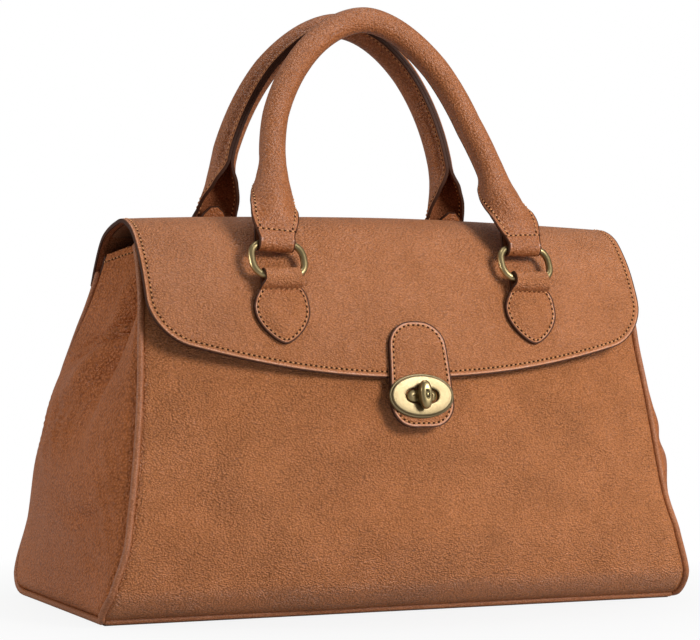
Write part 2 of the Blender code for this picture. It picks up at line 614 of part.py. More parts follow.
def lock_loop(out, half_x, half_up, power, count=28):
    """A closed outline square to the lock's axis: an oval, or a slot with round ends for a higher power."""
    angle = np.arange(count) * 2 * math.pi / count
    cosine, sine = np.cos(angle), np.sin(angle)
    across = half_x * np.sign(cosine) * np.abs(cosine) ** (2 / power)
    up = half_up * np.sign(sine) * np.abs(sine) ** (2 / power)
    base = np.array(LOCK_FACE) + np.array(LOCK_OUT) * out
    return base + np.stack([across, 0 * up, 0 * up], -1) + up[:, None] * np.array(LOCK_UP)


tab_face = SEAT_GAP + TAB_LEATHER
plate_back = tab_face + SEAT_GAP
plate_front = plate_back + PLATE_THICKNESS
OVAL_POWER = 2.0
SLOT_POWER = 2.6
edge_out = plate_front - PLATE_BEVEL
inner_x = PLATE_HALF_WIDTH - PLATE_BEVEL
inner_up = PLATE_HALF_HEIGHT - PLATE_BEVEL
solid_from_grid("eyelet_plate", np.stack([
    lock_loop(plate_back, SLOT_HALF_WIDTH, SLOT_HALF_HEIGHT, SLOT_POWER),
    lock_loop(plate_back, PLATE_HALF_WIDTH, PLATE_HALF_HEIGHT, OVAL_POWER),
    lock_loop(edge_out, PLATE_HALF_WIDTH, PLATE_HALF_HEIGHT, OVAL_POWER),
    lock_loop(plate_front, inner_x, inner_up, OVAL_POWER),
    lock_loop(plate_front, SLOT_HALF_WIDTH, SLOT_HALF_HEIGHT, SLOT_POWER)]), BRASS, flap_origin)
back_plate_front = -SEAT_GAP / 2
back_plate_back = back_plate_front - BACK_PLATE_THICKNESS
solid_from_grid("eyelet_back_plate", np.stack([
    lock_loop(back_plate_back, SLOT_HALF_WIDTH, SLOT_HALF_HEIGHT, SLOT_POWER),
    lock_loop(back_plate_back, BACK_PLATE_HALF_WIDTH, BACK_PLATE_HALF_HEIGHT, OVAL_POWER),
    lock_loop(back_plate_front, BACK_PLATE_HALF_WIDTH, BACK_PLATE_HALF_HEIGHT, OVAL_POWER),
    lock_loop(back_plate_front, SLOT_HALF_WIDTH, SLOT_HALF_HEIGHT, SLOT_POWER)]), BRASS, flap_origin)

post_step = back_plate_back - SEAT_GAP / 2
post_back = post_step - POST_PLATE_THICKNESS
post_half_x = SLOT_HALF_WIDTH - POST_CLEARANCE
post_half_up = SLOT_HALF_HEIGHT - POST_CLEARANCE
bore = SPINDLE_RADIUS + SPINDLE_CLEARANCE
solid_from_grid("lock_post", np.stack([
    lock_loop(post_back, bore, bore, OVAL_POWER),
    lock_loop(post_back, POST_PLATE_HALF_WIDTH, POST_PLATE_HALF_HEIGHT, OVAL_POWER),
    lock_loop(post_step, POST_PLATE_HALF_WIDTH, POST_PLATE_HALF_HEIGHT, OVAL_POWER),
    lock_loop(post_step, post_half_x, post_half_up, SLOT_POWER),
    lock_loop(plate_front - POST_ROUND, post_half_x, post_half_up, SLOT_POWER),
    lock_loop(plate_front, post_half_x - POST_ROUND, post_half_up - POST_ROUND, SLOT_POWER),
    lock_loop(plate_front, bore, bore, OVAL_POWER)]), BRASS, flap_origin)


def stacked_solid(name, loops, finish, parent):
    """A closed solid through loops of equal count, with flat ends."""
    shape = bmesh.new()
    rings = [[shape.verts.new(p) for p in loop] for loop in loops]
    count = len(rings[0])
    for lower, upper in zip(rings[:-1], rings[1:]):
        for k in range(count):
            shape.faces.new((lower[k], lower[(k + 1) % count], upper[(k + 1) % count], upper[k]))
    shape.faces.new(rings[0][::-1])
    shape.faces.new(rings[-1])
    bmesh.ops.recalc_face_normals(shape, faces=shape.faces)
    mesh = bpy.data.meshes.new(name)
    shape.to_mesh(mesh)
    shape.free()
    return add_object(name, mesh, finish, parent)


# Catch on the front panel: a low plate with a magnet, its neck riveted through to the washer
catch_back = PANEL_OUT + CATCH_GAP
catch_face = catch_back + CATCH_THICKNESS
neck_end = catch_back - NECK_LENGTH
stacked_solid("lock_catch", [
    lock_loop(neck_end, NECK_RADIUS, NECK_RADIUS, OVAL_POWER),
    lock_loop(catch_back, NECK_RADIUS, NECK_RADIUS, OVAL_POWER),
    lock_loop(catch_back, CATCH_HALF_WIDTH, CATCH_HALF_HEIGHT, OVAL_POWER),
    lock_loop(catch_face, CATCH_HALF_WIDTH, CATCH_HALF_HEIGHT, OVAL_POWER),
    lock_loop(catch_face, MAGNET_RADIUS, MAGNET_RADIUS, OVAL_POWER),
    lock_loop(catch_face + MAGNET_HEIGHT, MAGNET_RADIUS, MAGNET_RADIUS, OVAL_POWER)], BRASS, body)

# Washer inside the bag, and the holes for the neck
lining_depth = LEATHER + SEAT_GAP + LINING
washer_front = PANEL_OUT - lining_depth - WASHER_GAP
washer_back = washer_front - WASHER_THICKNESS
washer_hole = NECK_RADIUS + NECK_CLEARANCE
solid_from_grid("lock_washer", np.stack([
    lock_loop(washer_back, washer_hole, washer_hole, OVAL_POWER),
    lock_loop(washer_back, WASHER_RADIUS, WASHER_RADIUS, OVAL_POWER),
    lock_loop(washer_front, WASHER_RADIUS, WASHER_RADIUS, OVAL_POWER),
    lock_loop(washer_front, washer_hole, washer_hole, OVAL_POWER)]), BRASS, body)

CUT_OVERRUN = 6 * MM


def lock_cutter(name, half_x, half_up, power, low, high):
    """A plug square to the lock's axis that cuts a hole."""
    loops = [lock_loop(low, half_x, half_up, power), lock_loop(high, half_x, half_up, power)]
    cutter = stacked_solid(name, loops, None, None)
    cutter.hide_render = True
    cutter.display_type = "WIRE"
    return cutter


def cut(target, cutter):
    hole = target.modifiers.new("hole", "BOOLEAN")
    hole.operation = "DIFFERENCE"
    hole.object = cutter


neck_cutter = lock_cutter("neck_cutter", washer_hole, washer_hole, OVAL_POWER, PANEL_OUT - CUT_OVERRUN,
                          PANEL_OUT + CUT_OVERRUN)
cut(front_panel, neck_cutter)
cut(front_lining, neck_cutter)
cut(flap_tab, lock_cutter("tab_cutter", SLOT_HALF_WIDTH + SLOT_MARGIN, SLOT_HALF_HEIGHT + SLOT_MARGIN, SLOT_POWER,
                          -CUT_OVERRUN, tab_face + CUT_OVERRUN))

# Knob: a rounded bar across the end of a spindle
KNOB_CENTRE = plate_front + KNOB_GAP + KNOB_HALF_HEIGHT
knob_origin = bpy.data.objects.new("lock_axis", None)
knob_origin.location = LOCK_FACE + LOCK_OUT * KNOB_CENTRE
bpy.context.scene.collection.objects.link(knob_origin)
bpy.context.view_layer.update()
KNOB_POWER = 2.5
angles = np.linspace(-math.pi / 2, math.pi / 2, 9)[1:-1]
bar_loops = []
for angle in angles:
    width = math.cos(angle) ** (2 / KNOB_POWER)
    rise = math.sin(angle)
    out = KNOB_CENTRE + KNOB_HALF_HEIGHT * math.copysign(abs(rise) ** (2 / KNOB_POWER), rise)
    bar_loops.append(lock_loop(out, KNOB_HALF_WIDTH * width, KNOB_HALF_LENGTH * width, OVAL_POWER, 20))
spindle_end = post_back + SEAT_GAP
neck_top = KNOB_CENTRE - KNOB_HALF_HEIGHT
spindle = [lock_loop(spindle_end, SPINDLE_RADIUS, SPINDLE_RADIUS, OVAL_POWER, 20),
           lock_loop(neck_top, SPINDLE_RADIUS, SPINDLE_RADIUS, OVAL_POWER, 20)]
knob = stacked_solid("lock_knob", spindle + bar_loops, BRASS, knob_origin)
knob.data.shade_smooth()

# Leaf tabs: a strap laid on the bag, folded round the ring's lower bar and back behind itself
BAR_LIFT = SEAT_GAP + STRAP_LEATHER + LOOP_INNER_RADIUS
LOOP_RADIUS = LOOP_INNER_RADIUS + STRAP_LEATHER / 2
PLY_LIFT = SEAT_GAP + STRAP_LEATHER / 2
OUTER_PLY_LIFT = PLY_LIFT + STRAP_LEATHER + SEAT_GAP
FOLD_STEPS = 10
STITCH_DROP = 9.5 * MM


def tangent_turn(along, across, radius):
    """Angle on a circle, from the along axis, where a line from a point in front of the bar touches it."""
    return math.atan2(across, along) + math.acos(radius / math.hypot(along, across))


STITCH_WIDTH_SHARE = 0.45
BLADE_SHARES = ((0.2, 0.95), (0.4, 0.98), (0.58, 0.86), (0.78, 0.52), (0.93, 0.18), (1.0, 0.0))


def leaf_path():
    """Length down from the bar, lift off the bag, and width, from the hidden end round the bar to the tip."""
    leave = tangent_turn(STITCH_DROP, OUTER_PLY_LIFT - BAR_LIFT, LOOP_RADIUS)
    turn = np.linspace(-math.pi / 2, leave - 2 * math.pi, FOLD_STEPS)
    arc_s, arc_lift = LOOP_RADIUS * np.cos(turn), LOOP_RADIUS * np.sin(turn)
    s = [LEAF_PLY, LEAF_PLY / 2] + list(arc_s) + [STITCH_DROP]
    lift = [PLY_LIFT, PLY_LIFT] + list(BAR_LIFT + arc_lift) + [OUTER_PLY_LIFT]
    width = [STRAP_WIDTH] * (len(s) - 1) + [STRAP_WIDTH + (LEAF_WIDTH - STRAP_WIDTH) * STITCH_WIDTH_SHARE]
    for share, wide in BLADE_SHARES:
        s.append(STITCH_DROP + share * (LEAF_BLADE - STITCH_DROP))
        lift.append(PLY_LIFT)
        narrow = STRAP_WIDTH if share < 0.4 else LEAF_TIP_WIDTH
        width.append(narrow + (LEAF_WIDTH - narrow) * wide)
    return np.array(s), np.array(lift), np.array(width)


def leaf(name, place, start, side, parent):
    s, lift, width = leaf_path()
    across = np.linspace(-0.5, 0.5, 5)
    x = side * RING_SPACING + width[:, None] * across
    return leather_sheet(name, place(start + s[:, None] + 0 * x, x, lift[:, None] + 0 * x), STRAP_LEATHER, TAN, parent)


FRONT_BAR_S = length_at_level(FRONT_BAR_LEVEL)
ring_x = np.array([RING_SPACING])
front_bar = flap_place(np.array([FRONT_BAR_S]), ring_x, BAR_LIFT)[0]
back_bar = back_place(np.array([0.0]), ring_x, BAR_LIFT)[0]
for side, word in ((-1, "left"), (1, "right")):
    leaf("front_leaf_" + word, flap_place, FRONT_BAR_S, side, flap_origin)
    leaf("back_leaf_" + word, back_place, 0, side, body)


# Rings: round wire bent to an oval with straight top and bottom bars
def lean_direction(degrees_back):
    return np.array([0, math.sin(math.radians(degrees_back)), math.cos(math.radians(degrees_back))])


def ring_route(bar, lean, side):
    flat = RING_HALF_WIDTH - RING_HALF_HEIGHT
    turn = np.linspace(-math.pi / 2, math.pi / 2, 9)
    right = np.stack([flat + RING_HALF_HEIGHT * np.cos(turn), RING_HALF_HEIGHT * np.sin(turn)], -1)
    outline = np.vstack([right, -right])
    centre = np.array([side * RING_SPACING, bar[1], bar[2]]) + lean * RING_HALF_HEIGHT
    return centre + outline[:, :1] * np.array([1, 0, 0]) + outline[:, 1:] * lean


front_lean = lean_direction(FRONT_RING_LEAN)
back_lean = lean_direction(-BACK_RING_LEAN)
ring_origins = {}
for word, bar, lean in (("front", front_bar, front_lean), ("back", back_bar, back_lean)):
    for side, hand in ((-1, "left"), (1, "right")):
        origin = bpy.data.objects.new(word + "_ring_" + hand + "_bar", None)
        origin.location = (side * RING_SPACING, bar[1], bar[2])
        bpy.context.scene.collection.objects.link(origin)
        bpy.context.view_layer.update()
        tube(word + "_ring_" + hand, ring_route(bar, lean, side), RING_WIRE_RADIUS, BRASS, origin, 1, True)

# Handles: a strap folded round the rings' upper bars, spoon-shaped ends, rolled round a rope between them
ROLL_RADIUS = HANDLE_RADIUS - HANDLE_LEATHER / 2
ROLLED_WIDTH = 2 * math.pi * ROLL_RADIUS * ROLL_CLOSED_SHARE
ARCH_START_SHARE = 0.2
ARCH_POWER = 1.8
FOOT_SPREAD = RING_SPACING - HANDLE_HALF_WIDTH
FOOT_RUN_SHARE = 0.3
ARCH_STEPS = 9
SECTION_COLUMNS = 11


def handle_x(h):
    rise = np.clip((h - ARCH_START_SHARE) / (1 - ARCH_START_SHARE), 0, 1)
    arch = HANDLE_HALF_WIDTH * np.clip(1 - rise ** ARCH_POWER, 0, 1) ** (1 / ARCH_POWER)
    foot = FOOT_SPREAD * (1 - smoothstep(h / FOOT_RUN_SHARE))
    return arch + foot


def handle_centre(h, bar, top_y, lean_power):
    """Point of the left leg's centre line at a share of the height above the ring's upper bar."""
    h = np.asarray(h, float)
    y = top_y + (bar[1] - top_y) * np.clip(1 - h, 0, 1) ** lean_power
    z = bar[2] + (HANDLE_TOP - bar[2]) * h
    return np.stack([-handle_x(h), y, z], -1)


def handle(name, bar, top_y, lean_power, inward, parent):
    """inward is +1 where the seam faces +Y, -1 where it faces -Y."""
    arch_turn = np.linspace(0, math.pi / 2, ARCH_STEPS)
    arch_h = ROLL_END_SHARE + (1 - ROLL_END_SHARE) * np.sin(arch_turn)
    spoon_h = np.array([0.03, 0.08, SPOON_LEVEL_SHARE])
    roll_h = ROLL_START_SHARE + (ROLL_END_SHARE - ROLL_START_SHARE) * np.array((0.1, 0.3, 0.5, 0.7, 0.85))
    h = np.concatenate([[0.0], spoon_h, roll_h, arch_h])
    centre = handle_centre(h, bar, top_y, lean_power)
    step = 0.004
    ahead = handle_centre(np.clip(h + step, 0, 1), bar, top_y, lean_power)
    behind = handle_centre(np.clip(h - step, 0, 1), bar, top_y, lean_power)
    run = ahead - behind
    run[-1] = (1, 0, 0)
    rise = run * np.array([0, 1, 1])
    rise[-1] = rise[-2]
    rise = unit(rise)
    facing = inward * np.stack([0 * h, rise[:, 2], -rise[:, 1]], -1)
    run = unit(run)
    inside = np.cross(run, facing) * inward
    inside = unit(np.where((inside @ np.array([1, 0, -0.2]))[:, None] < 0, -inside, inside))
    roll = np.clip((h - ROLL_START_SHARE) / (ROLL_END_SHARE - ROLL_START_SHARE), 0, 1)
    half_angle = 0.06 + (math.pi * ROLL_CLOSED_SHARE - 0.06) * roll
    spoon = smoothstep(h / SPOON_LEVEL_SHARE)
    width = STRAP_WIDTH + (HANDLE_FLAT_WIDTH - STRAP_WIDTH) * spoon + (ROLLED_WIDTH - HANDLE_FLAT_WIDTH) * roll
    off = LOOP_RADIUS + (ROLL_RADIUS - LOOP_RADIUS) * roll
    # fold round the bar and the ply behind it
    up = unit(centre[1] - centre[0])
    out = -facing[0]
    merge = LOOP_RADIUS - STRAP_LEATHER / 2 - HANDLE_LEATHER / 2 - SEAT_GAP
    leave = tangent_turn(PLY_MERGE, -merge, LOOP_RADIUS)
    turn = np.linspace(leave, 1.5 * math.pi, FOLD_STEPS)[:-1]
    ups = np.concatenate([[INNER_PLY, PLY_MERGE], LOOP_RADIUS * np.cos(turn)])
    outs = np.concatenate([[merge, merge], -LOOP_RADIUS * np.sin(turn)])
    fold_points = centre[0] + up * ups[:, None] + out * outs[:, None]
    front_line = centre - facing * off[:, None]
    line = np.vstack([fold_points, front_line])
    lead = len(fold_points)
    sideways_all = np.vstack([np.repeat(inside[:1], lead, 0), inside])
    facing_all = np.vstack([np.repeat(facing[:1], lead, 0), facing])
    angle_all = np.concatenate([np.full(lead, half_angle[0]), half_angle])
    width_all = np.concatenate([np.full(lead, STRAP_WIDTH), width])
    share = np.linspace(-1, 1, SECTION_COLUMNS)
    bend = angle_all[:, None] * share
    radius = (width_all / (2 * angle_all))[:, None]
    flat_part = np.arange(len(line)) < lead
    curl = np.where(flat_part[:, None], 0, radius * (1 - np.cos(bend)))
    half = (line[:, None] + sideways_all[:, None] * (radius * np.sin(bend))[..., None]
            + facing_all[:, None] * curl[..., None])
    other = mirrored(half)[::-1][1:]
    cover = leather_sheet(name, np.vstack([half, other]), HANDLE_LEATHER, TAN, parent)
    core_half = handle_centre(arch_h[1:], bar, top_y, lean_power)
    core = np.vstack([core_half, mirrored(core_half)[::-1][1:]])
    tube(name + "_core", core, HANDLE_RADIUS - HANDLE_LEATHER - CORE_CLEARANCE, ROPE, parent, 2)
    return cover


for word, bar, lean, top_y, lean_power, inward in (
        ("front", front_bar, front_lean, FRONT_HANDLE_TOP_DEPTH, 1.41, 1),
        ("back", back_bar, back_lean, BACK_HANDLE_TOP_DEPTH, 5.0, -1)):
    top_bar = np.array([0, bar[1], bar[2]]) + lean * 2 * RING_HALF_HEIGHT
    origin = bpy.data.objects.new(word + "_handle_axis", None)
    origin.location = top_bar
    bpy.context.scene.collection.objects.link(origin)
    bpy.context.view_layer.update()
    handle(word + "_handle", top_bar, top_y, lean_power, inward, origin)
    print(word, "lower bar", np.round(bar * 1000, 2), "upper bar", np.round(top_bar * 1000, 2))

print("flap hinge", HINGE * 1000, "lock", LOCK_FACE * 1000, "lock axis", LOCK_OUT, "panel at", PANEL_OUT * 1000)
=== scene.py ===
import math

import bpy
import numpy as np
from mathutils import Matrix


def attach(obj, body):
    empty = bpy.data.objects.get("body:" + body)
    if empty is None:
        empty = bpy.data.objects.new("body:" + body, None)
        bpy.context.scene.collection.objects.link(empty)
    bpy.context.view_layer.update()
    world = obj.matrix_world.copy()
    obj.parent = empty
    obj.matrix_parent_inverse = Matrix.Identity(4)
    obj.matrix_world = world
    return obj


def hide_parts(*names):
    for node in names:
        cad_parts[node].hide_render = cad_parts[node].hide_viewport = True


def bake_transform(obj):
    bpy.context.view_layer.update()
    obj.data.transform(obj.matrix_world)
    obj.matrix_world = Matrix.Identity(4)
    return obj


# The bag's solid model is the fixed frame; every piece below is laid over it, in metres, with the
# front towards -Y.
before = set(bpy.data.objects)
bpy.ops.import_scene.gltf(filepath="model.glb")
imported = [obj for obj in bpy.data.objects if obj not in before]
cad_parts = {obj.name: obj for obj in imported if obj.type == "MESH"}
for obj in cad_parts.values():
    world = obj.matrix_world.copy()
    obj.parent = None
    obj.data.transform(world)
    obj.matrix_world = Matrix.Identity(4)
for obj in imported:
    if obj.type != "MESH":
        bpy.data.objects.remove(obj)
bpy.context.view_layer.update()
scene = bpy.context.scene
SIDES = ((-1, "left"), (1, "right"))

# Camera: low and a little to the left of the bag, level with the flap, through a long lens.
CAMERA_PLACE = (-0.5238, -1.2126, 0.1477)
CAMERA_PITCH = 90.73
CAMERA_YAW = -23.42
CAMERA_LENS = 114.1
camera_data = bpy.data.cameras.new("camera")
camera_data.lens = CAMERA_LENS
camera_data.sensor_width = 36
camera = bpy.data.objects.new("camera", camera_data)
camera.location = CAMERA_PLACE
camera.rotation_euler = (math.radians(CAMERA_PITCH), 0, math.radians(CAMERA_YAW))
scene.collection.objects.link(camera)
scene.camera = camera

# Lines, grids and meshes: the small tools that every piece is made with.


def smooth_curve(knots, values, at):
    """Cubic pieces through the values, with the slope at each knot the harmonic mean of its two chords."""
    chord = np.diff(values) / np.diff(knots)
    pair = chord[:-1] * chord[1:]
    mean = np.where(pair > 0, 2 * pair / np.where(pair > 0, chord[:-1] + chord[1:], 1), 0)
    slope = np.concatenate([chord[:1], mean, chord[-1:]])
    at = np.clip(at, knots[0], knots[-1])
    k = np.clip(np.searchsorted(knots, at) - 1, 0, len(chord) - 1)
    step = knots[k + 1] - knots[k]
    t = (at - knots[k]) / step
    start = (1 + 2 * t) * (1 - t) ** 2 * values[k] + t * (1 - t) ** 2 * step * slope[k]
    end = t * t * (3 - 2 * t) * values[k + 1] + t * t * (t - 1) * step * slope[k + 1]
    return start + end


def ease(share):
    """A smooth step from 0 to 1."""
    share = np.clip(share, 0, 1)
    return share * share * (3 - 2 * share)


def hump(distance, width):
    """A bell that is 1 at no distance and fades over the width."""
    return np.exp(-(distance / width) ** 2)


def unit(vectors):
    return vectors / np.linalg.norm(vectors, axis=-1, keepdims=True)


def bunched(count, start=-1):
    """Places from the start to 1, closer together towards the ends."""
    return np.sin(np.linspace(start, 1, count) * math.pi / 2)


def running_length(points):
    """The length along a line at each of its points."""
    return np.concatenate([[0], np.cumsum(np.linalg.norm(np.diff(points, axis=0), axis=1))])


def read_at(at, length, values):
    """Rows of values, read between the lengths at which they stand."""
    return np.stack([np.interp(at, length, column) for column in values.T], -1)


def along(points, at):
    """The points of a line at the given lengths along it."""
    return read_at(at, running_length(points), points)


def spread(*axes):
    """Points from their coordinates, each of which is repeated to fill the grid."""
    return np.stack(np.broadcast_arrays(*axes), -1)


def mirrored(places):
    """Places from the middle outwards, with their mirror images before them."""
    return np.concatenate([-places[:0:-1], places])


def quads(rows, columns, closed_rows=False, closed_columns=False):
    """Corner numbers of the quads between the points of a rows by columns grid."""
    index = np.arange(rows * columns).reshape(rows, columns)
    if closed_rows:
        index = np.vstack([index, index[:1]])
    if closed_columns:
        index = np.hstack([index, index[:, :1]])
    return np.stack([index[:-1, :-1], index[1:, :-1], index[1:, 1:], index[:-1, 1:]], -1).reshape(-1, 4)


def new_piece(name, points, faces, finishes, body):
    """A smooth mesh piece at the origin that rides on a body."""
    mesh = bpy.data.meshes.new(name)
    mesh.from_pydata(points.reshape(-1, 3), [], faces)
    for finish in finishes:
        mesh.materials.append(finish)
    mesh.shade_smooth()
    piece = bpy.data.objects.new(name, mesh)
    scene.collection.objects.link(piece)
    if body:
        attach(piece, body)
    return piece


def leather_sheet(name, points, thickness, finishes, body):
    """A grid given a wall: the first finish outside, the second inside, the third on the cut edge."""
    faces = quads(*points.shape[:2])[:, ::-1].tolist()
    piece = new_piece(name, points, faces, finishes, body)
    wall = piece.modifiers.new("thickness", "SOLIDIFY")
    wall.thickness = thickness
    wall.offset = 0
    wall.material_offset = 1
    wall.material_offset_rim = 2
    wall.use_even_offset = True
    return piece


# Finishes: shader nodes on the object's own coordinates. The attribute named rim says how near a cut edge
# is; there the leather is painted dark, then a thin pale line of painted highlight runs along the edge's
# crest, and the leather is pressed smooth, at these distances.
RIM_WIDTH = 0.0040
PAINTED_RIM = (0.0009, 0.0006)
HIGHLIGHT_RIM = (0.0015, 0.0011)
PRESSED_RIM = (0.0020, 0.0013)
EDGE_PAINT = (0.060, 0.024, 0.014)


def finish_edge(piece, depth, rounding):
    """Rounds off a sheet's cut edge and stores how near each point is to it: 1 there, 0 past the rim."""
    bevel = piece.modifiers.new("edge", "BEVEL")
    bevel.width = rounding
    bevel.segments = 2
    bevel.limit_method = "ANGLE"
    bevel.angle_limit = math.radians(50)
    bevel.use_clamp_overlap = True
    bevel.material = 2
    rim = piece.data.attributes.new("rim", "FLOAT", "POINT")
    rim.data.foreach_set("value", np.clip(1 - depth / RIM_WIDTH, 0, 1).ravel())


def fill(tree, node, *plugs, **named):
    """Sets a node's inputs, by number or by name with _ for a space; a socket is linked to its input."""
    for key, value in (*enumerate(plugs), *named.items()):
        plug = node.inputs[key.replace("_", " ") if isinstance(key, str) else key]
        if isinstance(value, bpy.types.NodeSocket):
            tree.links.new(value, plug)
        else:
            plug.default_value = value
    return node


def node_of(tree, kind, *plugs, **named):
    """A new node: a name in small letters sets a property, one with a capital an input."""
    made = tree.nodes.new("ShaderNode" + kind)
    for key in [key for key in named if key[0].islower()]:
        setattr(made, key, named.pop(key))
    return fill(tree, made, *plugs, **named)


def maths(tree, operation, *plugs):
    return node_of(tree, "Math", *plugs, operation=operation).outputs["Value"]


def ranged(tree, value, start, full, low, high):
    """A value mapped from the range start to full onto the range low to high."""
    made = node_of(tree, "MapRange", Value=value, From_Min=start, From_Max=full, To_Min=low, To_Max=high)
    return made.outputs["Result"]


def ramp(tree, share, *stops):
    """A colour ramp between two stops, each a place and a colour."""
    made = node_of(tree, "ValToRGB", share)
    for element, (place, colour) in zip(made.color_ramp.elements, stops):
        element.position = place
        element.color = (*colour, 1)
    return made.outputs["Color"]


def rim_share(tree, rim, reach, most):
    """A share that rises from 0 to its most between two distances from the cut edge."""
    return ranged(tree, rim, 1 - reach[0] / RIM_WIDTH, 1 - reach[1] / RIM_WIDTH, 0.0, most)


def lifted(colour, factor, more=0.0):
    """A colour made stronger, and paler by a fixed amount."""
    return [min(1.0, c * factor + more) for c in colour]


def new_finish(name):
    """A material, its node tree, its shader and the place on the object."""
    made = bpy.data.materials.new(name)
    made.use_nodes = True
    tree = made.node_tree
    return made, tree, tree.nodes["Principled BSDF"], node_of(tree, "TexCoord").outputs["Object"]


def leather(name, tone, pit_shade, mottle_and_highlight_tone, grain=820, relief=0.0019, roughness=0.36, turn=0.6, stretch=1.5,
            gloss_share=0.45):
    """Pebbled leather: two sizes of grain as relief, painted shade in the pits and painted highlights on
    the crowns and along the cut edge's crest, broad soft mottling.
    """
    made, tree, shader, place = new_finish(name)
    fit = node_of(tree, "Mapping", Vector=place, Rotation=(0.3, turn, 0.4), Scale=(1.0, 1.0, stretch))
    warp = node_of(tree, "TexNoise", Vector=place, Scale=90.0, Detail=3.0)
    shift = node_of(tree, "MixRGB", blend_type="ADD", Fac=0.004, Color1=fit.outputs["Vector"],
                    Color2=warp.outputs["Color"]).outputs["Color"]
    cells = node_of(tree, "TexVoronoi", feature="SMOOTH_F1", Vector=shift, Scale=grain, Smoothness=0.6)
    fine = node_of(tree, "TexVoronoi", feature="F1", Vector=shift, Scale=grain * 2.3)
    height = maths(tree, "MULTIPLY_ADD", fine.outputs["Distance"], 0.35, cells.outputs["Distance"])
    soften = node_of(tree, "TexNoise", Vector=place, Scale=38.0, Detail=4.0, Roughness=0.6).outputs["Fac"]
    rim = node_of(tree, "Attribute", attribute_name="rim").outputs["Fac"]
    rough_share = maths(tree, "SUBTRACT", 1.0, rim_share(tree, rim, PRESSED_RIM, 0.7))
    strength = maths(tree, "MULTIPLY", ranged(tree, soften, 0.3, 0.7, 0.68, 1.0), rough_share)
    bump = node_of(tree, "Bump", invert=True, Distance=relief, Strength=strength, Height=height)
    broad = node_of(tree, "TexNoise", Vector=place, Scale=9.0, Detail=3.0, Roughness=0.55).outputs["Fac"]
    pebble = node_of(tree, "TexVoronoi", feature="F1", Vector=shift, Scale=grain).outputs["Distance"]
    colour = ramp(tree, broad, (0.33, lifted(tone, 0.97)), (0.7, mottle_and_highlight_tone))
    # Painted shade darkens the grain's pits; painted highlights pale its crowns and the cut edge's crest.
    for share, layer in ((ranged(tree, pebble, 0.42, 0.95, 0.0, 0.62), pit_shade),
                         (ranged(tree, pebble, 0.45, 0.12, 0.0, 0.46), lifted(mottle_and_highlight_tone, 1.45, 0.06)),
                         (rim_share(tree, rim, HIGHLIGHT_RIM, 0.40), lifted(mottle_and_highlight_tone, 1.2, 0.04)),
                         (rim_share(tree, rim, PAINTED_RIM, 0.95), EDGE_PAINT)):
        colour = node_of(tree, "MixRGB", Fac=share, Color1=colour, Color2=(*layer, 1)).outputs["Color"]
    painted = rim_share(tree, rim, PAINTED_RIM, 1.0)
    shine = maths(tree, "MULTIPLY_ADD", painted, -0.9 * gloss_share, gloss_share)
    fill(tree, shader, Base_Color=colour, Normal=bump.outputs["Normal"], Specular_IOR_Level=shine,
         Roughness=ranged(tree, soften, 0.3, 0.75, roughness - 0.03, roughness + 0.05))
    return made


def plain_finish(name, colour, roughness, mottle=0.12, scale=120.0, gloss_share=0.5):
    """A smooth finish with a faint cloudy change of tone and gloss."""
    made, tree, shader, place = new_finish(name)
    cloud = node_of(tree, "TexNoise", Vector=place, Scale=scale, Detail=4.0).outputs["Fac"]
    tone = ramp(tree, cloud, (0.3, lifted(colour, 1 - mottle)), (0.7, lifted(colour, 1 + mottle)))
    fill(tree, shader, Base_Color=tone, Specular_IOR_Level=gloss_share,
         Roughness=ranged(tree, cloud, 0.3, 0.7, roughness * 0.85, roughness * 1.15))
    return made


def brass(name, tone, dark, roughness):
    """Aged brass: a pale worn face, darker patina in soft patches and fine brushing in the gloss."""
    made, tree, shader, place = new_finish(name)
    patch = node_of(tree, "TexNoise", Vector=place, Scale=70.0, Detail=4.0, Roughness=0.5).outputs["Fac"]
    fine = node_of(tree, "TexNoise", Vector=place, Scale=1400.0, Detail=3.0).outputs["Fac"]
    bump = node_of(tree, "Bump", Strength=0.05, Distance=0.00003, Height=fine)
    fill(tree, shader, Base_Color=ramp(tree, patch, (0.30, dark), (0.66, tone)), Metallic=1.0,
         Roughness=ranged(tree, fine, 0.3, 0.7, roughness - 0.05, roughness + 0.07),
         Normal=bump.outputs["Normal"])
    return made


def refinish(node, finish):
    """Gives a solid that stays in sight its finish."""
    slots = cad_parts[node].data.materials
    slots.clear()
    slots.append(finish)


# Each leather: its tone, the pit shade painted into its grain's pits, and its mottle and highlight tone.
flesh_side = leather("flesh_side", (0.19, 0.054, 0.016), (0.08, 0.021, 0.006), (0.25, 0.074, 0.024),
                     grain=900, relief=0.0006, roughness=0.75, gloss_share=0.15)
edge_paint = plain_finish("edge_paint", EDGE_PAINT, 0.5, gloss_share=0.12)
tan_leather = leather("tan_leather", (0.49, 0.167, 0.049), (0.22, 0.068, 0.018), (0.53, 0.188, 0.059),
                      gloss_share=0.55)
flap_leather = leather("flap_leather", (0.43, 0.148, 0.045), (0.23, 0.072, 0.020), (0.48, 0.170, 0.055),
                       turn=0.9, relief=0.0013, gloss_share=0.50)
side_leather = leather("side_leather", (0.41, 0.117, 0.024), (0.17, 0.040, 0.008), (0.48, 0.145, 0.036),
                       grain=640, relief=0.0014, stretch=1.2, gloss_share=0.24)
handle_leather = leather("handle_leather", (0.33, 0.104, 0.028), (0.17, 0.048, 0.012), (0.39, 0.130, 0.040),
                         grain=800, relief=0.0007, turn=0.2, stretch=1.2)
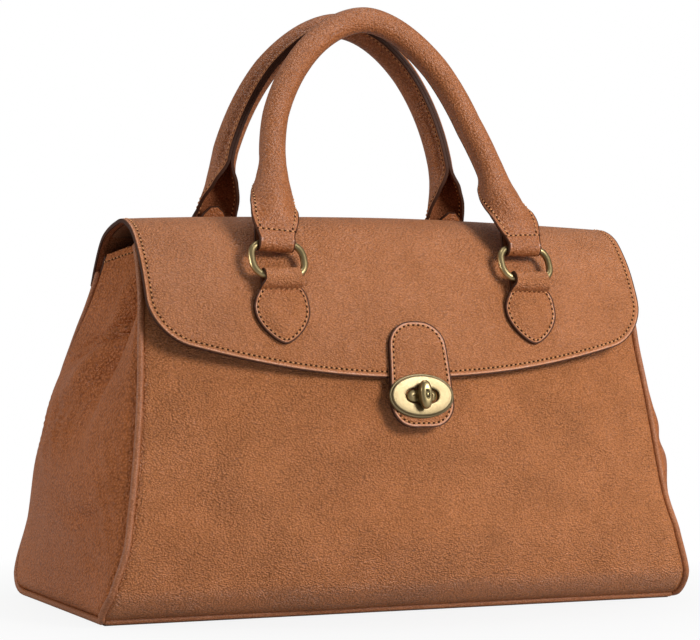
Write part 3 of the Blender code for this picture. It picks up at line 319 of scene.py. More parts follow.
# The piping's finish is darker than the panels' leather, as painted shade of the seam it lies in.
shaded_piping_leather = leather("shaded_piping_leather", (0.32, 0.108, 0.038), (0.20, 0.060, 0.018), (0.40, 0.140, 0.048),
                         grain=900, relief=0.0004, roughness=0.45)
suede = leather("suede_lining", (0.12, 0.042, 0.016), (0.07, 0.022, 0.008), (0.15, 0.056, 0.023),
                grain=1300, relief=0.0003, roughness=0.85, gloss_share=0.1)
board_grey = plain_finish("stiff_board", (0.23, 0.20, 0.17), 0.85, mottle=0.25, scale=900.0)
thread = plain_finish("tan_thread", (0.62, 0.285, 0.110), 0.6, mottle=0.18, scale=600.0)
awl_hole_shade = plain_finish("awl_hole_shade", (0.050, 0.018, 0.008), 0.9, gloss_share=0.05)
rope = plain_finish("cotton_rope", (0.55, 0.46, 0.33), 0.9)
plate_brass = brass("plate_brass", (0.245, 0.190, 0.105), (0.18, 0.135, 0.070), 0.42)
worn_brass = brass("worn_brass", (0.54, 0.42, 0.21), (0.30, 0.22, 0.10), 0.36)
PANEL_FINISHES = (tan_leather, flesh_side, edge_paint)
FLAP_FINISHES = (flap_leather, flesh_side, edge_paint)
SUEDE_FINISHES = (suede, suede, suede)

# Front panel: one soft sheet of pebbled tan leather, wider at the foot, with a low belly. It is sewn
# to the side panels and the base with piping in the seam, so its edge turns inward along the seam.
SEAM_LEVELS = np.array((2.5, 8, 20, 40, 60, 80, 100, 120, 135, 150, 160, 170, 184, 195, 206)) / 1000
SEAM_HALF_WIDTHS = np.array((0.987, 1.0, 0.983, 0.947, 0.922, 0.905, 0.891, 0.879, 0.870, 0.863, 0.859,
                             0.854, 0.849, 0.844, 0.840)) * 0.1779
FRONT_DEPTHS = np.array((0.814, 0.886, 0.978, 0.993, 0.940, 0.909, 0.881, 0.845, 0.809, 0.769, 0.751, 0.729,
                         0.680, 0.618, 0.540)) * 0.097
BACK_DEPTHS = np.array((0.814, 0.887, 0.979, 1.0, 0.985, 0.948, 0.892, 0.799, 0.691, 0.541, 0.433, 0.320,
                        0.178, 0.098, 0.015)) * 0.097
FRONT_BELLIES = np.array((0.0, 0.02, 0.08, 0.23, 0.53, 0.70, 0.80, 0.90, 0.92, 0.96, 0.84, 0.68, 0.55, 0.48,
                          0.32)) * 0.0132
BACK_BELLIES = np.array((0.0, 0.03, 0.12, 0.45, 0.80, 1.0, 1.0, 0.90, 0.75, 0.50, 0.35, 0.20, 0.03, 0.0,
                         0.0)) * 0.009
PANEL_THICKNESS = 0.0024
PANEL_FOOT = 0.0032
PANEL_TOP = 0.2055
SEAM_INSET = PANEL_THICKNESS / 2
SEAM_TURN = 0.0052
SEAM_DIP = 0.0036
panel_across = bunched(121)
panel_rise = np.linspace(0, 1, 91)[:, None] ** 1.1


def at_seam(values, z):
    """A size given at the seam levels, read at other levels."""
    return smooth_curve(SEAM_LEVELS, values, z)


def seam_fold(distance):
    """How far a panel turns inward near its seam: a quarter round over the last few millimetres."""
    return SEAM_DIP * np.clip(1 - distance / SEAM_TURN, 0, 1) ** 1.7


def panel_fold(x, z):
    return seam_fold(np.minimum(at_seam(SEAM_HALF_WIDTHS, z) - np.abs(x), z - SEAM_LEVELS[0]))


def front_middle(x, z):
    """Middle of the front leather: the seam's depth, the belly, three drapes and the turn at the seams."""
    across = np.clip(1 - (x / at_seam(SEAM_HALF_WIDTHS, z)) ** 2, 0, 1)
    belly = at_seam(FRONT_BELLIES, z) * across ** 1.2
    low_left = (x + 0.09) * 0.75 + (z - 0.06) * 0.66
    left = (x + 0.118) * 0.80 - (z - 0.085) * 0.60
    right = (x - 0.125) * 0.8 + (z - 0.09) * 0.6
    drape = (0.0022 * hump(low_left, 0.018) * hump(x + 0.10, 0.07)
             - 0.0018 * hump(left, 0.009) * hump(z - 0.085, 0.035)
             + 0.0020 * hump(right, 0.014) * hump(z - 0.08, 0.04)) * ease(across / 0.5)
    sag = 0.0024 * hump(z - 0.038, 0.02) * np.cos(x * 33) * across
    return -(at_seam(FRONT_DEPTHS, z) + belly + drape + sag - panel_fold(x, z))


def back_middle(x, z):
    """Middle of the back leather: the seam's depth, the belly and the turn at the seams."""
    across = np.clip(1 - (x / at_seam(SEAM_HALF_WIDTHS, z)) ** 2, 0, 1)
    return at_seam(BACK_DEPTHS, z) + at_seam(BACK_BELLIES, z) * across ** 1.2 - panel_fold(x, z)


def panel_grid(middle, low, top, sign, rise=panel_rise, across=panel_across, inset=SEAM_INSET):
    """The panel's points: level lines across, from the foot seam to the top edge."""
    z = low + (top - low) * rise
    x = (at_seam(SEAM_HALF_WIDTHS, z) - inset) * across * sign
    return spread(x, middle(x, z), z)


front_panel = leather_sheet("front_panel_leather", panel_grid(front_middle, PANEL_FOOT, PANEL_TOP, 1),
                            PANEL_THICKNESS, PANEL_FINISHES, "bag")
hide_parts("front_panel")

# Back panel: the same leather, cut fuller; it leans forward to the top, where the flap's band is sewn on.
BACK_TOP = 0.200
back_panel = leather_sheet("back_panel_leather", panel_grid(back_middle, PANEL_FOOT, BACK_TOP, -1),
                           PANEL_THICKNESS, PANEL_FINISHES, "bag")
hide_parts("back_panel")

# Side panels: softer leather that bulges low down and folds inward to a pleat under the flap. The left one
# shows a slanting double crease and fine wrinkles; the right one swells just behind its front seam. A dent
# is given by its height, the level and slope of its line, its width, and its middle and reach along it.
SIDE_BULGES = np.array((0.0, 0.06, 0.22, 0.56, 0.92, 1.12, 1.15, 1.0, 0.72, 0.45, 0.28, 0.18, 0.10, 0.05,
                        0.0)) * 0.015
SIDE_PLEATS = np.array((0.0, 0.0, 0.0, 0.0, 0.0, 0.05, 0.22, 0.45, 0.60, 0.72, 0.80, 0.86, 0.93, 0.97,
                        1.0)) * 0.013
RIGHT_DENTS = ((-0.0030, 0.118, 0.03, 0.007, -0.5, 0.35), (-0.0022, 0.068, -0.03, 0.006, -0.6, 0.25))
LEFT_DENTS = ((0.0024, 0.1554, -0.016, 0.0017, -0.05, 0.62), (-0.0045, 0.1555, -0.016, 0.010, -0.05, 0.62),
              (-0.0072, 0.124, -0.030, 0.012, 0.20, 0.42), (-0.0018, 0.046, -0.018, 0.005, -0.55, 0.25),
              (-0.0012, 0.044, 0.02, 0.004, -0.72, 0.14))
DOUBLE_CREASE = ((-0.0036, 0.1585, -0.016, 0.0019, -0.05, 0.62),
                 (-0.0036, 0.1523, -0.016, 0.0019, -0.05, 0.62))
SIDE_FRONT_TOP = 0.205
SIDE_BACK_TOP = 0.200
SIDE_TOP_RISE = 0.0040
SIDE_FOOT = 0.0045
HEM_STITCH_DROP = 0.0042


def dents(rows, u, z):
    """The sum of dents, each a bell across its own slanting line and along it."""
    return sum(height * hump(z - level - slope * u, width) * hump(u - middle, reach)
               for height, level, slope, width, middle, reach in rows)


def right_dents(u, z):
    swell = 0.0125 * hump(z - 0.088, 0.036) * hump(u + 0.62, 0.32) * (1 - np.abs(u) ** 6)
    return swell + dents(RIGHT_DENTS, u, z) - 0.0030 * hump(u + 0.45, 0.10) * ease((z - 0.125) / 0.04)


def left_dents(u, z):
    """The fold from the pleat down to the front, the braided double crease, and two patches of wrinkles."""
    fold = u + 0.66 - 0.44 * ease((0.200 - z) / 0.100)
    folds = (-0.0120 * hump(fold, 0.24) + 0.0075 * hump(fold - 0.50, 0.24) * ease((0.198 - z) / 0.02)
             + 0.0028 * hump(fold + 0.26, 0.11) * ease((0.19 - z) / 0.03)) * ease((z - 0.072) / 0.07)
    braid = 1 + 0.35 * np.sin(u * 46)
    wrinkle = np.sin((z + 0.010 * u) * 900 + 1.6 * np.sin(u * 7)) * np.sin((z * 2.1 - 0.035 * u) * 520 + 1)
    patches = (0.0020 * hump(z - 0.104, 0.018) * hump(u - 0.35, 0.42)
               + 0.0016 * hump(z - 0.066, 0.026) * hump(u + 0.80, 0.15))
    wave = -0.0022 * hump((z - 0.066) - 0.012 * np.sin(u * 3), 0.006) * hump(u + 0.45, 0.3)
    return folds + dents(DOUBLE_CREASE, u, z) * braid + dents(LEFT_DENTS, u, z) + wrinkle * patches + wave


def side_out(u, z, hand):
    """How far out the side leather lies: seam width, bulge, pleat with a sharp valley, and its dents."""
    bulge = at_seam(SIDE_BULGES, z) * np.clip(1 - u ** 2, 0, 1) ** 0.6
    middle = 0.08 - 0.1 * ease((z - 0.10) / 0.10)
    valley = np.clip(1 - np.sqrt((u - middle) ** 2 + 0.02) + 0.14, 0, 1) * (1 - np.abs(u) ** 8)
    own = right_dents(u, z) if hand > 0 else left_dents(u, z)
    return at_seam(SEAM_HALF_WIDTHS, z) + bulge - at_seam(SIDE_PLEATS, z) * valley + own


def side_middle(u, z, hand):
    """A point of the side leather's middle; u is -1 at the front seam and 1 at the back seam."""
    front = -at_seam(FRONT_DEPTHS, z) + SEAM_INSET
    back = at_seam(BACK_DEPTHS, z) - SEAM_INSET
    y = front + (back - front) * (u + 1) / 2
    edge = np.minimum(np.minimum(y - front, back - y), z - SIDE_FOOT)
    return spread((side_out(u, z, hand) - seam_fold(edge)) * hand, y, z)


def side_top(u):
    """Level of the side panel's top edge."""
    return SIDE_FRONT_TOP + (SIDE_BACK_TOP - SIDE_FRONT_TOP) * (u + 1) / 2 + SIDE_TOP_RISE * (1 - u ** 2)


def side_grid(hand):
    """The side panel's points: from the front seam to the back seam, up from the foot to the hem."""
    u = bunched(101)
    z = SIDE_FOOT + (side_top(u) - SIDE_FOOT) * np.linspace(0, 1, 111)[:, None]
    return side_middle(u, z, hand)[:, ::hand]


for hand, word in SIDES:
    side = leather_sheet("side_panel_" + word + "_leather", side_grid(hand), PANEL_THICKNESS,
                         (side_leather, flesh_side, edge_paint), "bag")
    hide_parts("side_panel_" + word)

# Piping: a thin cord wrapped in the same leather and caught in the seam; its finish is darker than the
# panels' as painted shade of the seam. One length runs down each front seam, round the foot of the side
# panel and up the back seam; straight lengths close the base's long sides.
PIPING_RADIUS = 0.0019
PIPING_LEVEL = 0.0025
PIPING_FRONT_TOP = 0.2035
PIPING_BACK_TOP = 0.190
PIPING_TURN = 0.012
FOOT_TURN = np.array(((0.1779, -0.0849, 0.0068), (0.1770, -0.0812, 0.0036), (0.1758, -0.0760, PIPING_LEVEL),
                      (0.1756, -0.04, PIPING_LEVEL)))
FOOT_MIDDLE = (0.1756, 0.0, PIPING_LEVEL)
PIPING_HALF_LENGTH = 0.1735
PIPING_DEPTH = 0.0790


def carried_round(points, radius, sides):
    """A tube: a circle carried along the points, kept square to them, that doesn't twist."""
    run = unit(np.gradient(points, axis=0))
    across = np.zeros_like(run)
    across[0] = np.cross(run[0], (0.31, 0.44, 0.84))
    for k in range(1, len(run)):
        across[k] = unit(across[k - 1] - run[k] * (across[k - 1] @ run[k]))
    across[0] = unit(across[0])
    up = np.cross(run, across)
    turn = np.arange(sides)[:, None] * 2 * math.pi / sides
    circle = across[:, None] * np.cos(turn) + up[:, None] * np.sin(turn)
    return points[:, None] + radius[:, None, None] * circle


def tube_piece(name, points, radius, finish, body, sides=12):
    """A closed tube with rounded ends along the points."""
    taper = np.array((0.02, 0.55, 0.85, 1.0))
    reach = np.array((1.0, 0.85, 0.5, 0.0))[:, None] * radius
    start = points[0] + unit(points[0] - points[1]) * reach
    end = points[-1] + unit(points[-1] - points[-2]) * reach[::-1]
    line = np.vstack([start, points[1:-1], end])
    size = np.concatenate([taper, np.ones(len(points) - 2), taper[::-1]])
    rings = carried_round(line, size * radius, sides)
    faces = quads(*rings.shape[:2], closed_columns=True).tolist()
    return new_piece(name, rings, faces, (finish,), body)


def rounded_path(corners, step):
    """A smooth line through the corners, with even steps along it."""
    length = running_length(corners)
    at = np.linspace(0, length[-1], int(length[-1] / step) + 2)
    return np.stack([smooth_curve(length, column, at) for column in corners.T], -1)


def seam_route(hand):
    """The line of one side's piping: down the front seam, round the foot and up the back seam."""
    down = np.linspace(PIPING_FRONT_TOP, PIPING_TURN, 60)
    up = np.linspace(PIPING_TURN, PIPING_BACK_TOP, 60)
    front = spread(at_seam(SEAM_HALF_WIDTHS, down), -at_seam(FRONT_DEPTHS, down), down)
    back = spread(at_seam(SEAM_HALF_WIDTHS, up), at_seam(BACK_DEPTHS, up), up)
    foot = np.vstack([FOOT_TURN, FOOT_MIDDLE, (FOOT_TURN * (1, -1, 1))[::-1]])
    return rounded_path(np.vstack([front, foot, back]) * (hand, 1, 1), 0.002)


foot_x = np.linspace(-PIPING_HALF_LENGTH, PIPING_HALF_LENGTH, 90)
for line, word in ((seam_route(-1), "left"), (seam_route(1), "right"),
                   (spread(foot_x, -PIPING_DEPTH, PIPING_LEVEL), "front"),
                   (spread(foot_x, PIPING_DEPTH, PIPING_LEVEL), "back")):
    piping = tube_piece("piping_" + word + "_leather", line, PIPING_RADIUS, shaded_piping_leather, "bag")
    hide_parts("piping_" + word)

# Base: a flat panel of the same leather, with a stiff board and a lining on it inside the bag.
BASE_HALF = (0.1738, 0.0768)
BASE_LINING_HALF = (0.1700, 0.0734)
BASE_LINING_LEVEL = 0.0056
LINING_THICKNESS = 0.0008
base_points = spread(BASE_HALF[0] * bunched(61)[::-1], BASE_HALF[1] * bunched(41)[:, None],
                     PANEL_THICKNESS / 2)
base = leather_sheet("base_panel_leather", base_points, PANEL_THICKNESS, PANEL_FINISHES, "bag")
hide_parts("base_panel")
lined_x = BASE_LINING_HALF[0] * bunched(41)
lined_y = BASE_LINING_HALF[1] * bunched(31)[:, None]
dip = 0.0002 * np.cos(lined_x * 45) * np.cos(lined_y * 60)
base_lining = leather_sheet("base_lining_suede", spread(lined_x, lined_y, BASE_LINING_LEVEL + dip),
                            LINING_THICKNESS, SUEDE_FINISHES, "bag")
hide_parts("base_lining")
refinish("base_board", board_grey)

# Linings: thin suede glued inside each panel, stopping below the bag's mouth.
LINING_FOOT = 0.0085
LINING_SEAM_INSET = 0.0062
SIDE_LINING_IN = 0.0021
for middle, top, sign, inward, node in ((front_middle, 0.197, 1, 0.0021, "front_lining"),
                                        (back_middle, 0.192, -1, -0.0026, "back_lining")):
    points = panel_grid(middle, LINING_FOOT, top, sign, np.linspace(0, 1, 61)[:, None], panel_across[::2],
                        LINING_SEAM_INSET) + (0, inward, 0)
    lining = leather_sheet(node + "_suede", points, LINING_THICKNESS, SUEDE_FINISHES, "bag")
    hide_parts(node)
for hand, word in SIDES:
    points = side_grid(hand)[5:-5, 6:-6] - (hand * SIDE_LINING_IN, 0, 0)
    lining = leather_sheet("side_lining_" + word + "_suede", points, LINING_THICKNESS, SUEDE_FINISHES,
                           "bag")
    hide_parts("side_lining_" + word)

# Stitches: waxed tan thread, each stitch a short raised rope between two awl holes; each hole is a flat
# dark disc of painted shade, not a hollow. Rows are sewn a little inside every cut edge, at about eight to
# the inch.
STITCH_PITCH = 0.0030
STITCH_HALF = 0.00082
STITCH_SLANT = 0.14
STITCH_RISE = 0.00034
STITCH_SUNK = 0.00016
THREAD_RADIUS = 0.00042
HOLE_HALF_LENGTH = 0.00072 * 1.35
HOLE_HALF_WIDTH = 0.00072 * 0.85
HOLE_LIFT = 0.00006


def directions(points, at, reach):
    """The line's own directions at the given lengths."""
    return unit(along(points, at + reach) - along(points, at - reach))


def stitch_row(name, points, normals, body):
    """A row of stitches on a line: small six-sided ropes, and flat dark discs of painted shade for the
    holes.
    """
    length = running_length(points)
    count = max(2, round(length[-1] / STITCH_PITCH))
    pitch = length[-1] / count
    middle = (np.arange(count) + 0.5) * pitch
    run = directions(points, middle, pitch * 0.4)
    out = read_at(middle, length, normals)
    out = unit(out - run * (out * run).sum(1, keepdims=True))
    aside = np.cross(out, run)
    run = run + aside * STITCH_SLANT
    stations = np.array((-1.0, -0.8, -0.4, 0.0, 0.4, 0.8, 1.0))[:, None]
    turn = np.arange(6)[:, None] * math.pi / 3
    centre = (along(points, middle)[:, None] + run[:, None] * stations * STITCH_HALF
              + out[:, None] * (STITCH_RISE * (1 - stations ** 2) - STITCH_SUNK))
    size = THREAD_RADIUS * (1 - 0.45 * stations[:, None] ** 4)
    round_it = aside[:, None, None] * np.cos(turn) + out[:, None, None] * np.sin(turn)
    rope_rings = centre[:, :, None] + size * round_it
    each = len(stations) * len(turn)
    rope_faces = quads(len(stations), len(turn), closed_columns=True)
    ropes = (rope_faces + (np.arange(count) * each)[:, None, None]).reshape(-1, 4)
    hole_at = np.arange(count + 1) * pitch
    hole_out = unit(read_at(hole_at, length, normals))
    hole_run = directions(points, hole_at, pitch * 0.3)
    hole_aside = np.cross(hole_out, hole_run)
    spin = np.arange(8)[:, None] * math.pi / 4
    discs = ((along(points, hole_at) + hole_out * HOLE_LIFT)[:, None]
             + hole_run[:, None] * np.cos(spin) * HOLE_HALF_LENGTH
             + hole_aside[:, None] * np.sin(spin) * HOLE_HALF_WIDTH)
    holes = np.arange(8) + count * each + 8 * np.arange(count + 1)[:, None]
    piece = new_piece(name, np.vstack([rope_rings.reshape(-1, 3), discs.reshape(-1, 3)]),
                      ropes.tolist() + holes.tolist(), (thread, awl_hole_shade), body)
    piece.data.polygons.foreach_set("material_index", [0] * len(ropes) + [1] * len(holes))


for hand, word in SIDES:
    u = np.linspace(-0.93, 0.93, 120)
    hem_line = side_middle(u, side_top(u) - HEM_STITCH_DROP, hand)
    way = np.gradient(hem_line, axis=0)
    out = unit(spread(way[:, 1], -way[:, 0], 0.0)) * hand
    stitch_row("side_hem_stitches_" + word, hem_line + out * PANEL_THICKNESS / 2, out, "bag")

# Inner pocket: an open suede patch on the back lining, with a turned hem along its mouth and a stitch line
# just inside its other three edges.
POCKET_HALF = 0.0935
POCKET_LOW = 0.0620
POCKET_TOP = 0.1396
POCKET_THICKNESS = 0.0014
POCKET_STITCH_INSET = 0.003


def pocket_face(x, z, lift=0.0):
    """The pocket: close to the lining at the sewn edges, a little loose towards its mouth."""
    slack = ease((z - POCKET_LOW) / 0.06) * np.clip(1 - (x / POCKET_HALF) ** 2, 0, 1)
    hem = 0.0005 * ease((z - POCKET_TOP + 0.0105) / 0.001)
    return spread(x, back_middle(x, z) - 0.0040 - 0.0016 * slack - hem - lift, z)


pocket_z = POCKET_LOW + (POCKET_TOP - POCKET_LOW) * bunched(45, 0)[:, None]
pocket = leather_sheet("inner_pocket_suede", pocket_face(POCKET_HALF * bunched(61), pocket_z),
                       POCKET_THICKNESS, SUEDE_FINISHES, "bag")
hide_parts("inner_pocket")
pocket_in = POCKET_HALF - POCKET_STITCH_INSET
pocket_rise = np.linspace(POCKET_LOW + POCKET_STITCH_INSET, POCKET_TOP - 0.002, 60)
pocket_route = np.vstack([spread(-pocket_in, pocket_rise[::-1]),
                          spread(np.linspace(-pocket_in, pocket_in, 120)[1:], pocket_rise[0]),
                          spread(pocket_in, pocket_rise[1:])])
pocket_line = pocket_face(*pocket_route.T, POCKET_THICKNESS / 2)
stitch_row("inner_pocket_stitches", pocket_line, np.tile((0.0, -1.0, 0.0), (len(pocket_line), 1)), "bag")

# Flap: one sheet of leather sewn to the back panel by its first few centimetres; it folds over the top and
# hangs in front, with a long curved lower edge, painted dark at the cut and topstitched just inside it.
# Its face is given by the length s down from the band's edge and by x.
FLAP_PROFILE = np.array(((0.02318, 0.18396), (0.01746, 0.19302), (0.0098, 0.20291), (0.00301, 0.2095),
                         (-0.00698, 0.21548), (-0.01998, 0.22104), (-0.03298, 0.22351), (-0.04501, 0.22145),
                         (-0.05597, 0.21609), (-0.06499, 0.20744), (-0.07401, 0.19549), (-0.08196, 0.18004),
                         (-0.08846, 0.16295), (-0.09312, 0.14935), (-0.09661, 0.13493), (-0.09933, 0.12092),
                         (-0.10166, 0.10794), (-0.10301, 0.09682)))
FLAP_HALF_WIDTH = 0.152
FLAP_CORNER = 0.022
FLAP_EDGE_RADIUS = 0.460
FLAP_END = 0.19243
FLAP_HINGE = 0.033
FLAP_CROWN = 0.004
FLAP_THICKNESS = 0.0022
FLAP_STITCH_INSET = 0.0032
FLAP_STITCH_START = 0.040
BAND_STITCH_HALF = 0.1485
FLAP_LINING_HALF = 0.148
FLAP_LINING_START = 0.041
FLAP_LINING_INSET = 0.004
FLAP_LINING_DEPTH = FLAP_THICKNESS + 0.0008
FLAP_LINING_THICKNESS = 0.001
RING_SPACING = 0.0765
NEAR_EDGE = (0.0, 0.0004, 0.0010, 0.0017, 0.0024, 0.0029, 0.0032, 0.0035, 0.0040, 0.0048, 0.0060, 0.0085)
NEAR_EDGE_SHARES = (0.0, 0.0025, 0.006, 0.010, 0.0145, 0.0175, 0.0192, 0.021, 0.024, 0.029, 0.036, 0.05)


def spline(corners, steps):
    """A smooth line through all corners, with the tangent at each along its neighbours."""
    ends = np.vstack([2 * corners[0] - corners[1], corners, 2 * corners[-1] - corners[-2]])
    t = np.linspace(0, 1, steps, endpoint=False)[:, None]
    runs = [(2 * b + (c - a) * t + (2 * a - 5 * b + 4 * c - d) * t ** 2
             + (3 * b - a - 3 * c + d) * t ** 3) / 2
            for a, b, c, d in zip(ends[:-3], ends[1:-2], ends[2:-1], ends[3:])]
    return np.vstack(runs + [corners[-1:]])


flap_line = spline(FLAP_PROFILE, 16)


def flap_surface(s, x, lift=0.0):
    """A point of the flap's face: its profile, droop at the sides, pull of the rings, soft dents."""
    place = along(flap_line, s)
    way = directions(flap_line, s, 0.0025)
    crown = FLAP_CROWN * ease((s - FLAP_HINGE) / 0.034) * (x / FLAP_HALF_WIDTH) ** 2
    pull = 0.0007 * (hump(x + RING_SPACING, 0.030) + hump(x - RING_SPACING, 0.030)) * hump(s - 0.112, 0.022)
    ripple = 0.00045 * np.sin(x * 41 + 0.6) * np.sin(s * 38) * ease((s - 0.04) / 0.05)
    out = lift - crown - pull + ripple
    return spread(x, place[..., 0] + way[..., 1] * out, place[..., 1] - way[..., 0] * out)


def outward(surface, s, x, facing=(0, -1, 0.4)):
    """The surface's normal on the side that faces a direction, from two small steps on it."""
    step = 0.0008
    down = surface(s + step, x) - surface(s - step, x)
    side = surface(s, x + step) - surface(s, x - step)
    normal = unit(np.cross(side, down))
    return -normal if (normal @ facing).mean() < 0 else normal


def flap_end(x):
    """Length down to the lower edge: a long arc, with a quarter round at each corner."""
    sag = FLAP_EDGE_RADIUS - np.sqrt(FLAP_EDGE_RADIUS ** 2 - x ** 2)
    beyond = np.clip(np.abs(x) - (FLAP_HALF_WIDTH - FLAP_CORNER), 0, FLAP_CORNER)
    return FLAP_END - sag - (FLAP_CORNER - np.sqrt(np.maximum(FLAP_CORNER ** 2 - beyond ** 2, 0)))


def clustered(reach, inner, fine=NEAR_EDGE):
    """Places from 0 to the reach, evenly inside and close together near the far edge."""
    near = reach - np.array(fine)[::-1]
    return np.concatenate([np.linspace(0, near[0], inner, endpoint=False), near])


def edge_distance(points, outline):
    """Distance of each point to the nearest stretch of the outline, both in flat coordinates."""
    start, step = outline[:-1], np.diff(outline, axis=0)
    flat = points.reshape(-1, 1, 2)
    share = np.clip(((flat - start) * step).sum(-1) / np.maximum((step ** 2).sum(-1), 1e-14), 0, 1)
    gap = np.linalg.norm(flat - start - step * share[..., None], axis=-1).min(1)
    return gap.reshape(points.shape[:-1])


def moved_aside(outline, distance):
    """A flat outline moved square to its own direction."""
    way = unit(np.gradient(outline, axis=0))
    return outline + np.stack([-way[:, 1], way[:, 0]], -1) * distance


corner_x = FLAP_HALF_WIDTH - FLAP_CORNER + FLAP_CORNER * np.sin(np.linspace(0, math.pi / 2, 24))
lower_x = np.concatenate([-corner_x[:0:-1], np.linspace(-corner_x[0], corner_x[0], 200), corner_x[1:]])
flap_outline = np.vstack([(-FLAP_HALF_WIDTH, 0.0), spread(lower_x, flap_end(lower_x)),
                          (FLAP_HALF_WIDTH, 0.0)])
flap_x = mirrored(clustered(FLAP_HALF_WIDTH, 46))[::-1]
flap_s = flap_end(flap_x) * clustered(1.0, 88, NEAR_EDGE_SHARES)[:, None]
flap_depth = edge_distance(spread(flap_x, flap_s), flap_outline)
flap_groove = (-0.00032 * hump(flap_depth - FLAP_STITCH_INSET, 0.0008)
               + 0.00012 * hump(flap_depth - 0.0016, 0.0009))
flap = leather_sheet("flap_leather", flap_surface(flap_s, flap_x, flap_groove - FLAP_THICKNESS / 2),
                     FLAP_THICKNESS, FLAP_FINISHES, None)
finish_edge(flap, flap_depth, 0.0009)
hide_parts("flap", "flap_band")
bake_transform(flap)
stitch_line = moved_aside(flap_outline, -FLAP_STITCH_INSET)
stitch_line = stitch_line[stitch_line[:, 1] > FLAP_STITCH_START]
first_side = spread(stitch_line[0, 0], np.linspace(FLAP_STITCH_START, stitch_line[0, 1], 40))
last_side = spread(stitch_line[-1, 0], np.linspace(stitch_line[-1, 1], FLAP_STITCH_START, 40))
stitch_x, stitch_s = np.vstack([first_side[:-1], stitch_line, last_side[1:]]).T
stitch_row("flap_stitches", flap_surface(stitch_s, stitch_x, -0.00016),
           outward(flap_surface, stitch_s, stitch_x), "flap")
band_x = np.linspace(-BAND_STITCH_HALF, BAND_STITCH_HALF, 200)
band_s = np.full(200, FLAP_STITCH_INSET)
stitch_row("band_stitches", flap_surface(band_s, band_x), outward(flap_surface, band_s, band_x), "bag")

lining_x = np.linspace(FLAP_LINING_HALF, -FLAP_LINING_HALF, 61)
lining_reach = flap_end(lining_x) - FLAP_LINING_INSET - FLAP_LINING_START
lining_s = FLAP_LINING_START + lining_reach * np.linspace(0, 1, 61)[:, None]
flap_lining = leather_sheet("flap_lining_suede", flap_surface(lining_s, lining_x, -FLAP_LINING_DEPTH),
                            FLAP_LINING_THICKNESS, SUEDE_FINISHES, "flap")
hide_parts("flap_lining")

# Tab: a rounded strip sewn to the flap's middle that hangs below its edge and carries the lock. Its cut
# edge is painted dark and shows thick on the left.
TAB_TOP = 0.16060
TAB_LOW = 0.22046
TAB_HALF = 0.0166
TAB_SPREAD = 0.0032
TAB_THICKNESS = 0.0024
TAB_STITCH_INSET = 0.0023
TAB_CORNER = 0.0145
TAB_END = 0.015
TAB_ASIDE = 0.0010
TAB_EDGE_STEPS = np.array((0.0, 0.0003, 0.0007, 0.0012, 0.0018, 0.0023, 0.0028, 0.0034, 0.0042, 0.0054,
                           0.007, 0.009, 0.0115))
TAB_EDGE_SHARES = (0.0, 0.02, 0.05, 0.085, 0.115, 0.135, 0.155, 0.185, 0.24, 0.31)


def tab_half(s):
    """Half width of the tab: a little wider at its foot, with a round corner at each end."""
    share = (s - TAB_TOP) / (TAB_LOW - TAB_TOP)
    inner = np.clip(TAB_CORNER - np.minimum(s - TAB_TOP, TAB_LOW - s), 0, TAB_CORNER)
    rounding = TAB_CORNER - np.sqrt(np.maximum(TAB_CORNER ** 2 - inner ** 2, 0))
    return TAB_HALF + TAB_SPREAD * share - rounding


tab_s = np.concatenate([TAB_TOP + TAB_EDGE_STEPS, np.linspace(TAB_TOP + TAB_END, TAB_LOW - TAB_END, 34),
                        TAB_LOW - TAB_EDGE_STEPS[::-1]])[:, None]
tab_x = tab_half(tab_s) * mirrored(clustered(1.0, 7, TAB_EDGE_SHARES))[::-1]
corner_s = TAB_CORNER * (1 - np.cos(np.linspace(0, math.pi / 2, 20)))
edge_s = np.concatenate([TAB_TOP + corner_s, np.linspace(TAB_TOP + TAB_END, TAB_LOW - TAB_END, 20),
                         TAB_LOW - corner_s[::-1]])
tab_edge = spread(tab_half(edge_s), edge_s)
tab_outline = np.vstack([tab_edge, (tab_edge * (-1, 1))[::-1]])
tab_depth = edge_distance(spread(tab_x, tab_s), np.vstack([tab_outline, tab_outline[:1]]))
tab_lift = (0.0003 + TAB_THICKNESS / 2 - 0.00035 * hump(tab_depth - TAB_STITCH_INSET, 0.0007)
            + 0.0002 * ease((tab_depth - 0.003) / 0.004))
tab = leather_sheet("lock_tab_leather", flap_surface(tab_s, tab_x + TAB_ASIDE, tab_lift), TAB_THICKNESS,
                    FLAP_FINISHES, "flap")
finish_edge(tab, tab_depth, 0.0009)
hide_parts("flap_tab")
inset = moved_aside(tab_outline, TAB_STITCH_INSET)
inset_x, inset_s = np.vstack([inset, inset[:1]]).T
inset_x = inset_x + TAB_ASIDE
stitch_row("lock_tab_stitches", flap_surface(inset_s, inset_x, TAB_THICKNESS + 0.00012),
           outward(flap_surface, inset_s, inset_x), "flap")

